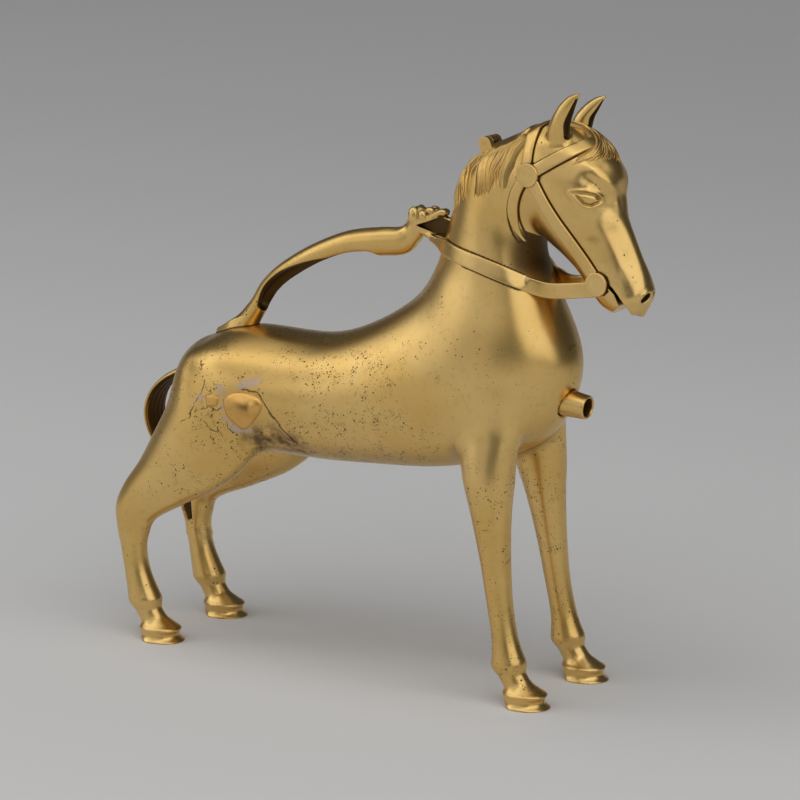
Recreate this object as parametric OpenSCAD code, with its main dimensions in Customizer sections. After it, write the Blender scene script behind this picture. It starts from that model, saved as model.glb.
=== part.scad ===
// Horse aquamanile: a hollow cast water vessel standing on four legs.
// It is filled under a hinged lid behind the ears and pours from a spout in the breast.
// +X points to the head, +Y to the horse's left and +Z up. Sizes are millimetres.

/* [Stance] */
// Distance from the front hooves to the hind hooves
wheelbase = 241; // [234:1:248]
// Distance between the left and the right hooves
track = 62.6; // [59:0.2:66]
// Length of a hoof where it stands
hoof_length = 29; // [26:0.5:32]
// Width of a hoof where it stands
hoof_width = 23.6; // [21:0.2:26]
// Height of a hoof
hoof_height = 7.4; // [6:0.2:9]
// Thickness of the legs at the cannon
cannon = 14.6; // [13:0.2:16]
// Extra fullness of the left stifle
stifle_left = 10; // [6:0.5:12]

/* [Trunk] */
// Height of the belly above the ground
belly_z = 113; // [109:1:117]
// Depth of the trunk from back to belly
trunk_depth = 69; // [66:1:72]
// Width of the trunk at the loin
trunk_width = 75; // [72:1:78]
// How far the breast stands in front of the front hooves
chest_reach = 11; // [9:0.5:13]
// Thickness of the cast wall
wall = 3; // [2.6:0.1:3.4]

/* [Neck] */
// Height of the poll above the back
poll_rise = 129; // [126:1:132]
// Width of the neck at the throat
neck_width = 41; // [39:0.5:43]

/* [Head] */
// Length of the head from poll to lips
head_length = 107; // [104:1:110]
// Depth of the head from forehead to jowl
head_depth = 60; // [57:1:63]
// Width of the head across the eyes
head_width = 43; // [41:0.5:45]
// Slope of the face below the horizontal
head_tilt = 57; // [55:0.5:59]
// Height of the right ear above the poll
ear_rise_right = 19; // [17:0.5:22]
// Height of the left ear above the poll
ear_rise_left = 14.5; // [13:0.5:17]

/* [Lid] */
// Length of the lid along the crest
lid_length = 27; // [25:0.5:29]
// Width of the lid
lid_width = 23; // [21:0.5:25]
// Thickness of the lid
lid_thickness = 2.2; // [1.8:0.1:2.6]
// Width of the rim that the lid lies on
lid_rim = 3; // [2.4:0.1:3.6]
// Gap between the closed lid and its rim
lid_gap = 0.4; // [0.35:0.05:0.5]
// Radius of the hinge knuckles
knuckle_radius = 3.7; // [3.4:0.1:4]
// Radius of the hinge pin
pin_radius = 1.4; // [1.2:0.1:1.7]
// Radial play of the pin in the lid's knuckle
pin_play = 0.06; // [0.04:0.01:0.1]
// Width of the lid's knuckle
knuckle_width = 5.5; // [4.5:0.5:6.5]
// Width of each hinge lug
lug_width = 2.8; // [2.4:0.1:3.4]

/* [Spout] */
// Radius of the spout's bore
spout_bore = 5; // [4.4:0.1:5.4]
// Outer radius of the spout at its mouth
spout_tip = 6.5; // [6.3:0.1:7]
// Outer radius of the spout at the breast
spout_root = 7.8; // [7.4:0.1:8.4]
// How far the spout stands out of the breast
spout_reach = 11; // [9:0.5:13]
// Slope of the spout below the horizontal
spout_drop = 6; // [3:0.5:9]

/* [Handle] */
// Width of the handle
handle_width = 15; // [13:0.5:17]
// Height of the handle's arch above the back
handle_rise = 62; // [60:0.5:64]
// Thickness of the handle's arch
handle_depth = 13; // [12:0.5:14]
// Depth of the hollow under the handle's arch
handle_hollow = 5; // [4:0.5:6]

/* [Tail] */
// Width of the tail
tail_width = 20; // [17:0.5:23]
// Thickness of the tail
tail_thickness = 4.6; // [3.8:0.2:5.4]
// How far the tail's bow stands behind the hind hooves
tail_reach = 28; // [26:0.5:30]

/* [Bridle] */
// Width of the bridle straps
strap_width = 8; // [7:0.25:9]
// Thickness of the bridle straps and reins
strap_thickness = 1.3; // [1:0.1:1.6]
// Width of the reins
rein_width = 8.6; // [7.5:0.25:9.5]
// Radius of the rosettes
rosette_radius = 6.4; // [5.8:0.1:7]
// Thickness of the rosettes
rosette_thickness = 2.2; // [1.8:0.1:2.6]

/* [Hair and repairs] */
// Thickness of the mane and the forelock
hair_thickness = 1.8; // [1.4:0.1:2.2]
// Thickness of the repair plates on the haunch
patch_thickness = 0.9; // [0.7:0.1:1.2]

/* [Hidden] */

brass = "#b8923f";
bright_brass = "#c49a45";
dark_brass = "#8a6a2c";

right = -1;
left = 1;
far = 400;

// Landmarks
back_z = belly_z + trunk_depth;
poll_z = back_z + poll_rise;
half_trunk = trunk_width / 2;
half_neck = neck_width / 2;
half_track = track / 2;
half_cannon = cannon / 2;
half_hoof = hoof_width / 2;

// Smooth lofts

// Row i of a list, held at both ends
function held(list, i) = list[max(0, min(len(list) - 1, i))];

// Smooth row at position t of a list of rows
function row_at(list, t) =
  let (i = max(0, min(len(list) - 2, floor(t))), u = t - i,
       a = held(list, i - 1), b = list[i], c = list[i + 1], d = held(list, i + 2))
  b + u / 2 * ((c - a) + u * ((2 * a - 5 * b + 4 * c - d) + u * (3 * b - a - 3 * c + d)));

function unit(v) = v / norm(v);
function mix(a, b, f) = a + f * (b - a);

// A row is [upper x, upper z, lower x, lower z, y, half width, fullness].
// Fullness above 0 makes the upper half of the section the wider one.
function row_up(r) = unit([r[0] - r[2], 0, r[1] - r[3]]);
function row_mid(r) = [(r[0] + r[2]) / 2, r[4], (r[1] + r[3]) / 2];
function row_half(r) = norm([r[0] - r[2], r[1] - r[3]]) / 2;
function row_axis(r) = let (n = row_up(r)) [n[2], 0, -n[0]];

// Section of a row: swell grows it on all sides, size scales it, shift moves it along its axis
function section(r, sides, swell, size = 1, shift = 0) =
  [for (j = [0:sides - 1]) let (a = 360 * j / sides)
    row_mid(r) + shift * row_axis(r)
    + size * (row_half(r) + swell) * cos(a) * row_up(r)
    + size * (r[5] * (1 + r[6] * cos(a)) + swell) * sin(a) * [0, 1, 0]];

dome_steps = 3;

// Sections from position t0 to t1 of the rows, with an optional dome of a given depth at each end
function sections(rows, t0, t1, steps, sides, swell, dome0, dome1) =
  let (first = row_at(rows, t0), last = row_at(rows, t1), step = 90 / (dome_steps + 0.35)) concat(
    dome0 <= 0 ? [] : [for (k = [dome_steps:-1:1])
      section(first, sides, swell, cos(k * step), -(dome0 + swell) * sin(k * step))],
    [for (k = [0:steps]) section(row_at(rows, mix(t0, t1, k / steps)), sides, swell)],
    dome1 <= 0 ? [] : [for (k = [1:dome_steps])
      section(last, sides, swell, cos(k * step), (dome1 + swell) * sin(k * step))]);

// Closed skin over a list of sections
module skin(rings) {
  count = len(rings);
  sides = len(rings[0]);
  polyhedron(
    points = [for (ring = rings, p = ring) p],
    faces = concat(
      [[for (j = [sides - 1:-1:0]) j]],
      [for (i = [0:count - 2], j = [0:sides - 1], half = [0, 1])
        let (k = (j + 1) % sides, a = i * sides, b = a + sides)
        half == 0 ? [a + j, a + k, b + k] : [a + j, b + k, b + j]],
      [[for (j = [0:sides - 1]) (count - 1) * sides + j]]));
}

// Loft from position t0 to t1 of the rows
module loft(rows, t0, t1, steps, sides, swell = 0, dome0 = 0, dome1 = 0)
  skin(sections(rows, t0, t1, steps, sides, swell, dome0, dome1));

// A cast form: all its cuts are resolved together into one skin
module cast() resize([0, 0, 0]) children();

// A flat outline in the X-Z plane, made as thick as asked along Y
module across(thickness = far) rotate([90, 0, 0])
  linear_extrude(height = thickness, center = true) children();

// Keeps one side of the horse
module on_side(side, inset = 0) intersection() {
  children();
  translate([-far, side == left ? inset : -far - inset, -far]) cube([2 * far, far, 3 * far]);
}

// Trunk and neck, one rising form from the rump to the poll

function neck_z(f) = back_z + f * poll_rise;

body_rows = [
  [-wheelbase + 19, back_z - 8, -wheelbase + 27, belly_z + 2, 0, 0.86 * half_trunk, 0.04],
  [-wheelbase + 36, back_z - 1.5, -wheelbase + 46, belly_z - 1, 0, half_trunk, 0],
  [-wheelbase + 61, back_z, -wheelbase + 69, belly_z - 1, 0, 1.01 * half_trunk, -0.02],
  [-0.62 * wheelbase, back_z + 0.5, -0.59 * wheelbase, belly_z - 1, 0, 0.98 * half_trunk, -0.03],
  [-0.52 * wheelbase, neck_z(0.05), -0.45 * wheelbase, belly_z + 1, 0, 0.98 * half_trunk, -0.05],
  [-104, neck_z(0.13), -70, belly_z + 4.5, 0, half_trunk, -0.08],
  [-86.5, neck_z(0.225), chest_reach - 44, belly_z + 14, 0, half_trunk, -0.1],
  [-77.5, neck_z(0.31), chest_reach - 17, belly_z + 28, 0, 0.97 * half_trunk, -0.1],
  [-72, neck_z(0.395), chest_reach - 3, belly_z + 50, 0, 0.89 * half_trunk, -0.1],
  [-69, neck_z(0.473), chest_reach, belly_z + 71, 0, 0.78 * half_trunk, -0.1],
  [-65.5, neck_z(0.566), chest_reach - 7, belly_z + 91, 0, 1.24 * half_neck, -0.08],
  [-61.5, neck_z(0.66), chest_reach - 16, poll_z - 87, 0, 1.1 * half_neck, -0.05],
  [-56, neck_z(0.76), -10, poll_z - 72, 0, half_neck, 0],
  [-45.5, neck_z(0.847), -9, poll_z - 60, 0, 0.95 * half_neck, 0],
  [-31, neck_z(0.905), -4, poll_z - 55, 0, 0.92 * half_neck, 0],
  [-16, neck_z(0.953), 4, poll_z - 49, 0, 0.9 * half_neck, 0],
  [-1, poll_z - 2, 12, poll_z - 43, 0, 0.84 * half_neck, 0]
];
body_end = len(body_rows) - 1;
body_sides = 24;
cavity_sides = 16;
rump_dome = 25;
// Position along the rows where the neck is joined to the trunk
neck_joint = 9.5;
neck_steps = 12;
trunk_steps = 17;

module trunk_form(swell = 0)
  loft(body_rows, 0, neck_joint, trunk_steps, body_sides, swell, rump_dome);

module neck_form(swell = 0)
  loft(body_rows, neck_joint, body_end, neck_steps, body_sides, swell);

// Trunk and neck in one
function body_sections(swell) = concat(
  sections(body_rows, 0, neck_joint, trunk_steps, body_sides, swell, rump_dome, 0),
  [for (k = [1:neck_steps])
    section(row_at(body_rows, mix(neck_joint, body_end, k / neck_steps)), body_sides, swell)]);
module body_form(swell = 0) skin(body_sections(swell));

// The water space, drawn a little past the joint so that trunk and neck open into each other
module trunk_space()
  loft(body_rows, 0, neck_joint + 0.05, 10, cavity_sides, -wall, rump_dome);

module neck_space()
  loft(body_rows, neck_joint - 0.05, body_end - 0.3, 7, cavity_sides, -wall);

// Head

head_axis = [cos(head_tilt), 0, -sin(head_tilt)];
head_up = [sin(head_tilt), 0, cos(head_tilt)];
head_origin = [6, 0, poll_z + 2];

// Point of the head, from shares of its length and of its depth below the poll
function head_at(s, v) = head_origin + s * head_length * head_axis + v * head_depth * head_up;
function head_row(s, top, bottom, width, fullness) =
  let (u = head_at(s, top), l = head_at(s, bottom))
  [u[0], u[2], l[0], l[2], 0, width * head_width / 2, fullness];

head_rows = [
  head_row(-0.02, -0.12, -0.52, 0.62, 0),
  head_row(0.06, 0.04, -0.68, 0.84, 0),
  head_row(0.17, 0.15, -0.755, 0.95, 0.02),
  head_row(0.28, 0.215, -0.775, 1, 0.02),
  head_row(0.37, 0.2, -0.765, 0.97, 0),
  head_row(0.45, 0.105, -0.73, 0.88, -0.05),
  head_row(0.54, 0.05, -0.665, 0.76, -0.12),
  head_row(0.65, 0.02, -0.61, 0.63, -0.16),
  head_row(0.76, -0.01, -0.595, 0.57, -0.12),
  head_row(0.86, -0.035, -0.57, 0.57, 0),
  head_row(0.925, -0.075, -0.5, 0.54, 0.06),
  head_row(0.97, -0.17, -0.42, 0.4, 0.05)
];
head_end = len(head_rows) - 1;
head_sides = 20;
head_steps = 17;
poll_dome = 4;
lip_dome = 2.5;

module head_form(swell = 0)
  loft(head_rows, 0, head_end, head_steps, head_sides, swell, poll_dome, lip_dome);

module head_space()
  loft(head_rows, 0.6, head_end - 2.2, 6, cavity_sides - 4, -wall);

// Half width of the head at a share of its length and depth
function head_side(s, v) =
  let (t = lookup(s, [for (i = [0:head_end]) [head_share(i), i]]), r = row_at(head_rows, t),
       mid = row_mid(r), c = (head_at(s, v) - mid) * row_up(r) / row_half(r))
  r[5] * (1 + r[6] * c) * sqrt(max(0, 1 - c * c));
function head_share(i) =
  let (r = head_rows[i], p = [r[0], 0, r[1]] - head_origin) p * head_axis / head_length;

// Skin that the bridle and the hair lie on
module hide(swell = 0) {
  body_form(swell);
  head_form(swell);
}

// A layer of even thickness on the hide, inside the given outline
module layer(thickness) difference() {
  intersection() {
    union() hide(thickness);
    children();
  }
  union() hide();
}

// Mouth, nostrils and eyes

eye_share = [0.4, -0.06];
nostril_share = [0.925, -0.17];
mouth_share = [0.8, -0.5];
lip_share = [1.03, -0.4];
mouth_gap = 1.6;
eye_length = 9;
eye_height = 4.6;
eye_proud = 1.1;
nostril_size = 2.6;

module mouth_slot() hull() {
  translate(head_at(mouth_share[0], mouth_share[1])) rotate([90, 0, 0])
    cylinder(r = mouth_gap / 2, h = head_width, center = true, $fn = 12);
  translate(head_at(lip_share[0], lip_share[1])) rotate([90, 0, 0])
    cylinder(r = mouth_gap, h = head_width, center = true, $fn = 12);
}

// The lower lip is shorter than the upper one
module lip_cut() across() polygon([for (p = [
  head_at(0.915, -0.47), head_at(1.1, -0.36), head_at(1.1, -0.8), head_at(0.94, -0.8)
]) [p[0], p[2]]]);

module nostril(side)
  translate(head_at(nostril_share[0], nostril_share[1])
    + [0, side * head_side(nostril_share[0], nostril_share[1]), 0])
    rotate([0, head_tilt, 0]) scale([1.4, 0.8, 1]) sphere(r = nostril_size, $fn = 10);

module eye(side)
  translate(head_at(eye_share[0], eye_share[1])
    + [0, side * (head_side(eye_share[0], eye_share[1]) - eye_height / 2 + eye_proud), 0])
    rotate([0, head_tilt - 18, 0]) scale([eye_length / eye_height, 1, 1])
    sphere(r = eye_height / 2, $fn = 12);

// Filling mouth, lid and hinge

// The crest under the lid: a line along the back of the neck, from the hinge to the poll
hinge_row = row_at(body_rows, 13.3);
front_row = row_at(body_rows, 15.2);
crest_start = [hinge_row[0], 0, hinge_row[1]];
crest_dir = unit([front_row[0], 0, front_row[1]] - crest_start);
crest_slope = atan2(crest_dir[2], crest_dir[0]);
hinge_lift = knuckle_radius + 0.5;
hinge_axis = crest_start + hinge_lift * [-crest_dir[2], 0, crest_dir[0]];
lid_start = knuckle_radius + 0.6;
lid_end = lid_start + lid_length;
lid_corner = 6;

// Places its children on the crest, with X along it and Z away from the neck
module on_crest() translate(crest_start) rotate([0, -crest_slope, 0]) children();

// Oblong outline on the crest, inset from the lid's edge, reaching from low to high
module crest_oblong(inset, low, high)
  translate([lid_start + lid_corner, lid_corner - lid_width / 2, low])
    linear_extrude(height = high - low)
      offset(r = lid_corner - inset, $fn = 20)
        square([lid_length - 2 * lid_corner, lid_width - 2 * lid_corner]);

crest_deep = 14;
crest_high = 12;
module fill_mouth() on_crest() crest_oblong(lid_rim, -crest_deep, crest_high);

// Space that the closed lid and its knuckle take, with room round it
module lid_room() on_crest() {
  crest_oblong(-lid_gap - 0.2, -crest_deep, crest_high);
  translate([-knuckle_radius - 0.6, -knuckle_width / 2 - lid_gap, -knuckle_radius])
    cube([2 * knuckle_radius + 1.2, knuckle_width + 2 * lid_gap, crest_high]);
}

module lid_plate() difference() {
  intersection() {
    union() {
      neck_form(lid_thickness + lid_gap);
      head_form(lid_thickness + lid_gap);
    }
    on_crest() crest_oblong(0, -crest_deep, crest_high);
  }
  union() {
    neck_form(lid_gap);
    head_form(lid_gap);
  }
}

// Shells

module trunk_shell() color(brass) place() cast() difference() {
  trunk_form();
  trunk_space();
  spout_axis(-far / 8) cylinder(r = spout_root / cos(180 / 48), h = far / 4, $fn = 48);
}

module neck_shell() color(brass) place() cast() difference() {
  neck_form();
  neck_space();
  head_form();
  fill_mouth();
  lug_seat();
}

module head_shell() color(brass) place() cast() difference() {
  union() {
    head_form();
    eye(right);
    eye(left);
  }
  head_space();
  neck_space();
  fill_mouth();
  mouth_slot();
  lip_cut();
  nostril(right);
  nostril(left);
}

// Legs: rows run from the top, inside the trunk, to the ground; the upper point is the front one

function leg_z(f) = hoof_height + f * (belly_z - hoof_height);

// Pastern and hoof, from the fetlock down, for a hoof centred at x
function hoof_rows(x) = [
  [x - 0.5, hoof_height + 15, x - 20, hoof_height + 11.5, half_track, 1.2 * half_cannon, 0],
  [x + 0.3, hoof_height + 10, x - 16, hoof_height + 6.5, half_track, half_cannon, 0],
  [x + 2.6, hoof_height + 6, x - 13.2, hoof_height + 3, half_track, 0.93 * half_cannon, 0],
  [x + 0.29 * hoof_length, hoof_height + 2.4, x - 0.44 * hoof_length, hoof_height + 1, half_track,
    0.74 * half_hoof, 0],
  [x + 0.41 * hoof_length, hoof_height, x - 0.45 * hoof_length, hoof_height - 0.6, half_track,
    0.88 * half_hoof, 0],
  [x + 0.39 * hoof_length, 0.55 * hoof_height, x - 0.45 * hoof_length, 0.5 * hoof_height, half_track,
    0.88 * half_hoof, 0],
  [x + 0.5 * hoof_length, 0, x - 0.5 * hoof_length, 0, half_track, half_hoof, 0]
];

front_leg_rows = concat([
  [-9, leg_z(1.45), -47, leg_z(1.43), half_track - 9, 11, 0],
  [-9, leg_z(1.275), -47, leg_z(1.255), half_track - 6.5, 13.2, 0],
  [-11, leg_z(1.105), -42, leg_z(1.085), half_track - 4.3, 1.72 * half_cannon, 0],
  [-12.5, leg_z(0.915), -35.5, leg_z(0.895), half_track - 2.8, 1.42 * half_cannon, 0],
  [-12, leg_z(0.69), -29.5, leg_z(0.68), half_track - 1.8, 1.15 * half_cannon, 0],
  [-10, leg_z(0.46), -24.5, leg_z(0.45), half_track - 1, 0.96 * half_cannon, 0],
  [-6, leg_z(0.275), -20.8, leg_z(0.265), half_track - 0.3, 0.95 * half_cannon, 0]
], hoof_rows(0));

// The left thigh is fuller in front than the right one
function hind_leg_rows(side) = let (full = side == left ? stifle_left : 0) concat([
  [-wheelbase + 66 + 0.3 * full, leg_z(1.36), -wheelbase + 14, leg_z(1.44), half_track - 12, 12.5, 0],
  [-wheelbase + 67 + 0.8 * full, leg_z(1.15), -wheelbase + 6, leg_z(1.275), half_track - 7, 14.8, 0],
  [-wheelbase + 58 + full, leg_z(0.965), -wheelbase - 3, leg_z(1.1), half_track - 4.3, 14, 0],
  [-wheelbase + 39 + full, leg_z(0.81), -wheelbase - 14, leg_z(0.905), half_track - 2.3, 12, 0],
  [-wheelbase + 15.5 + 0.7 * full, leg_z(0.69), -wheelbase - 24, leg_z(0.77), half_track - 1,
    1.38 * half_cannon, 0],
  [-wheelbase - 3.5, leg_z(0.585), -wheelbase - 29.5, leg_z(0.65), half_track - 0.3, 1.17 * half_cannon, 0],
  [-wheelbase - 9, leg_z(0.49), -wheelbase - 28.5, leg_z(0.525), half_track, 1.04 * half_cannon, 0],
  [-wheelbase - 10.5, leg_z(0.405), -wheelbase - 26, leg_z(0.415), half_track, 0.96 * half_cannon, 0],
  [-wheelbase - 8, leg_z(0.29), -wheelbase - 23.5, leg_z(0.28), half_track, 0.96 * half_cannon, 0]
], hoof_rows(-wheelbase));

leg_sides = 12;
function leg_steps(rows) = round(1.6 * rows);
front_leg_end = len(front_leg_rows) - 1;
hind_leg_end = len(hind_leg_rows(right)) - 1;
// Position along the hind leg where the recast shank is joined on
shank_joint = 7.4;

module leg(rows, t0, t1, side) difference() {
  mirror([0, side == right ? 1 : 0, 0])
    loft(rows, t0, t1, leg_steps(t1 - t0), leg_sides);
  trunk_form();
}

module front_leg_right() color(brass) place() cast() leg(front_leg_rows, 0, front_leg_end, right);
module front_leg_left() color(brass) place() cast() leg(front_leg_rows, 0, front_leg_end, left);
module hind_leg_right() color(brass) place() cast() leg(hind_leg_rows(right), 0, hind_leg_end, right);
module hind_leg_left() color(brass) place() cast() leg(hind_leg_rows(left), 0, shank_joint, left);
module hind_left_shank() color(brass) place() cast() leg(hind_leg_rows(left), shank_joint, hind_leg_end, left);

// Ears: rows run from the base to the tip; the upper point is the rear one

ear_root = head_width / 2 - 10.5;
ear_sink = 9;
function ear_rows(rise) = [
  [-2, poll_z - ear_sink, 11, poll_z - ear_sink + 1, ear_root, 5.6, 0],
  [0, poll_z + 0.1 * rise, 12.6, poll_z + 0.06 * rise, ear_root + 1.4, 6, 0],
  [5.5, poll_z + 0.58 * rise, 15.5, poll_z + 0.48 * rise, ear_root + 2.2, 4.6, 0],
  [12, poll_z + 0.89 * rise, 18, poll_z + 0.79 * rise, ear_root + 2.6, 2.5, 0],
  [17.5, poll_z + rise, 19.5, poll_z + 0.94 * rise, ear_root + 2.8, 0.8, 0]
];
// The cup is a slimmer form set forward and outward, so that it opens the ear's front
function cup_rows(rise) = [
  [6, poll_z - 1, 15, poll_z - 1, ear_root + 3, 2.4, 0],
  [6.2, poll_z + 0.2 * rise, 18, poll_z + 0.12 * rise, ear_root + 3.4, 3.4, 0],
  [10, poll_z + 0.56 * rise, 20, poll_z + 0.42 * rise, ear_root + 3.6, 2.6, 0],
  [15.5, poll_z + 0.85 * rise, 22, poll_z + 0.74 * rise, ear_root + 3.6, 1, 0]
];

function ear_rise(side) = side == right ? ear_rise_right : ear_rise_left;

module ear_block(side, swell = 0) mirror([0, side == right ? 1 : 0, 0])
  loft(ear_rows(ear_rise(side)), 0, 4, 6, 10, swell, 0, 0.6);

module ear(side) difference() {
  ear_block(side);
  mirror([0, side == right ? 1 : 0, 0]) loft(cup_rows(ear_rise(side)), 0, 3, 5, 8, 0, 2);
  head_form();
  neck_form();
}

module ear_right() color(brass) place() cast() ear(right);
module ear_left() color(brass) place() cast() ear(left);

// Spout: a true tube through a hole in the breast

spout_shank = 9;
spout_height = belly_z + 48.5;

// Places its children on the spout's axis, which meets the breast at its origin
module spout_axis(shift) translate([chest_reach - 3.2, 0, spout_height])
  rotate([0, 90 + spout_drop, 0]) translate([0, 0, shift]) children();

module spout() color(bright_brass) place() difference() {
  union() {
    spout_axis(-spout_shank) cylinder(r = spout_root, h = spout_shank, $fn = 64);
    spout_axis(0) cylinder(r1 = spout_root, r2 = spout_tip, h = spout_reach, $fn = 64);
  }
  spout_axis(-spout_shank - 1) cylinder(r = spout_bore, h = spout_shank + spout_reach + 2, $fn = 64);
}

// Lid and hinge

lug_foot = 4.6;
lug_sink = 1.6;

module lug_seat() on_crest()
  translate([-lug_foot, -knuckle_width / 2 - lug_width - lid_gap, -lug_sink])
    cube([2 * lug_foot, knuckle_width + 2 * lug_width + 2 * lid_gap, crest_high]);

module hinge_lugs() color(brass) place() for (side = [right, left]) difference() {
  on_crest() translate([0, side * (knuckle_width / 2 + lid_gap + lug_width / 2), 0]) {
    translate([0, 0, hinge_lift]) rotate([90, 0, 0])
      cylinder(r = knuckle_radius, h = lug_width, center = true, $fn = 48);
    translate([-knuckle_radius, -lug_width / 2, -lug_sink])
      cube([2 * knuckle_radius, lug_width, hinge_lift + lug_sink]);
  }
  pin_bore(pin_radius);
}

module pin_bore(radius) translate(hinge_axis) rotate([90, 0, 0])
  cylinder(r = radius, h = far / 4, center = true, $fn = 48);

module hinge_pin() color(dark_brass) place() translate(hinge_axis) rotate([90, 0, 0])
  cylinder(r = pin_radius, h = knuckle_width + 2 * lug_width + 2 * lid_gap, center = true, $fn = 48);

// A leaf joins the lid's plate to its knuckle
leaf_reach = 4;
module lid_leaf() on_crest() translate([0, -knuckle_width / 2, lid_gap + 0.3])
  cube([lid_start + leaf_reach, knuckle_width, lid_thickness - 0.5]);

module lid() color(brass) place() {
  cast() difference() {
    union() {
      lid_plate();
      lid_leaf();
    }
    translate(hinge_axis) rotate([90, 0, 0])
      cylinder(r = knuckle_radius - 0.2, h = 2 * knuckle_width, center = true, $fn = 48);
  }
  difference() {
    translate(hinge_axis) rotate([90, 0, 0])
      cylinder(r = knuckle_radius, h = knuckle_width, center = true, $fn = 48);
    pin_bore(pin_radius + pin_play);
  }
}

// Handle: a long beast whose tail foot sits on the croup and whose jaws hold the reins

arch_z = back_z + handle_rise;
function arch_row(x, z, lean, depth, width) =
  let (d = depth * handle_depth * [sin(lean), cos(lean)])
  [x, z, x + d[0], z - d[1], 0, width * handle_width / 2, 0];

handle_rows = [
  [-wheelbase + 15, back_z - 8, -wheelbase + 20, back_z - 16, 0, 0.25 * handle_width, 0],
  [-wheelbase + 27, back_z - 0.5, -wheelbase + 35, back_z - 10, 0, 0.45 * handle_width, 0],
  [-wheelbase + 36, back_z + 6, -wheelbase + 42, back_z - 6, 0, 0.44 * handle_width, 0],
  arch_row(-0.818 * wheelbase, back_z + 0.24 * handle_rise, 62, 0.78, 0.85),
  arch_row(-0.787 * wheelbase, back_z + 0.42 * handle_rise, 56, 0.84, 0.87),
  arch_row(-0.735 * wheelbase, back_z + 0.6 * handle_rise, 46, 0.95, 0.95),
  arch_row(-0.651 * wheelbase, back_z + 0.782 * handle_rise, 31, 1, 1),
  arch_row(-0.556 * wheelbase, back_z + 0.92 * handle_rise, 18, 1, 1),
  arch_row(-113, arch_z - 0.5, 5, 1, 1),
  arch_row(-100.5, arch_z + 1, 12, 1, 0.87),
  [-95.5, arch_z + 5.5, -89.5, arch_z - 7.5, 0, 0.37 * handle_width, 0],
  [-91, arch_z + 13, -84, arch_z - 1.4, 0, 0.43 * handle_width, 0],
  [-81, arch_z + 14.4, -76, arch_z, 0, 0.43 * handle_width, 0],
  [-66.3, arch_z + 9.2, -63, arch_z + 0.4, 0, 0.31 * handle_width, 0]
];
handle_end = len(handle_rows) - 1;
handle_hollow_rows = [for (i = [3:8]) let (r = handle_rows[i], n = row_up(r), m = row_mid(r),
  lower = m - (row_half(r) + handle_hollow / 2) * n, upper = m - (row_half(r) - handle_hollow) * n)
  [upper[0], upper[2], lower[0], lower[2], 0, r[5] - 2, 0]];

// Open jaws: a wedge between the upper jaw and the lower jaw
module jaw_wedge() across(handle_width) polygon([
  [-85, arch_z + 3.6], [-71, arch_z + 8], [-58, arch_z + 8.5], [-58, arch_z - 3], [-68, arch_z - 3.5],
  [-79, arch_z + 1.8]
]);

module beast_eye(side) translate([-84.5, side * 0.36 * handle_width, arch_z + 10.4])
  sphere(r = 2.2, $fn = 10);

module beast_ear(side) translate([-90.6, side * 0.33 * handle_width, arch_z + 9.6])
  rotate([0, -20, 0]) scale([0.95, 0.9, 1.6]) sphere(r = 2.4, $fn = 8);

module handle() color(brass) place() cast() difference() {
  union() {
    difference() {
      loft(handle_rows, 0, handle_end, 21, 10, 0, 2, 2);
      loft(handle_hollow_rows, 0.3, 4.6, 7, 8, 0, 4, 4);
      jaw_wedge();
    }
    for (side = [right, left]) {
      beast_eye(side);
      beast_ear(side);
    }
  }
  body_form();
  rein_wrap();
}

// Tail: a broad ribbon that bows out behind the rump and hangs between the hind legs

tail_bow = -wheelbase - tail_reach;
// A row from a point of the ribbon's outer face and the slope of its thickness
function tail_row(x, z, lean, width) =
  let (d = tail_thickness * [cos(lean), sin(lean)])
  [x + d[0], z + d[1], x, z, 0, width * tail_width / 2, 0];

tail_rows = [
  tail_row(-wheelbase + 16, back_z - 14, -80, 0.7),
  tail_row(tail_bow + 28, back_z - 26.5, -70, 0.85),
  tail_row(tail_bow + 14, back_z - 34.5, -58, 1),
  tail_row(tail_bow + 4, back_z - 44.5, -32, 1),
  tail_row(tail_bow, back_z - 57, 0, 1),
  tail_row(tail_bow + 2.5, back_z - 69, 27, 0.97),
  tail_row(tail_bow + 9, back_z - 80, 31, 0.92),
  tail_row(tail_bow + 15, back_z - 93, 20, 0.8),
  tail_row(tail_bow + 20, back_z - 106, 14, 0.55),
  tail_row(tail_bow + 23, back_z - 119, 10, 0.22)
];
tail_end = len(tail_rows) - 1;

module tail() color(brass) place() cast() difference() {
  loft(tail_rows, 0, tail_end, 18, 10, 0, 0, 1);
  trunk_form();
}

// Bridle

brow_boss = [0.145, -0.427];
bit_boss = [0.772, -0.405];
brow_point = head_at(brow_boss[0], brow_boss[1]);
bit_point = head_at(bit_boss[0], bit_boss[1]);

// A straight band in the X-Z plane, from one point to another
module band(from, to, width, start = 1) hull() {
  translate([from[0], from[2]]) circle(d = start * width, $fn = 12);
  translate([to[0], to[2]]) circle(d = width, $fn = 12);
}

brow_end = head_at(0.165, 0.6);
module browband_area() across() band(brow_point, brow_end, strap_width, 0.9);

crown_end = [-9, 0, poll_z + 20];
module crown_area() across() band(brow_point, crown_end, strap_width, 0.8);

throat_radius = 29;
throat_mid = brow_point + throat_radius * [0.62, 0, -0.785];
module throat_area() across() difference() {
  translate([throat_mid[0], throat_mid[2]]) circle(r = throat_radius + strap_width / 2, $fn = 32);
  translate([throat_mid[0], throat_mid[2]]) circle(r = throat_radius - strap_width / 2, $fn = 28);
  translate([throat_mid[0] - 23, throat_mid[2] - far / 2]) square(far);
  translate([brow_point[0] - 0.5, throat_mid[2]]) square(far);
  translate([-far / 2, brow_point[2] - 2]) square(far);
}

module cheek_area() across() band(brow_point, bit_point, strap_width);

module boss_room(boss) translate(head_at(boss[0], boss[1])) rotate([90, 0, 0])
  cylinder(r = strap_width / 2, h = far, center = true, $fn = 24);

module cheek_strap(side) on_side(side) layer(strap_thickness) cheek_area();

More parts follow.
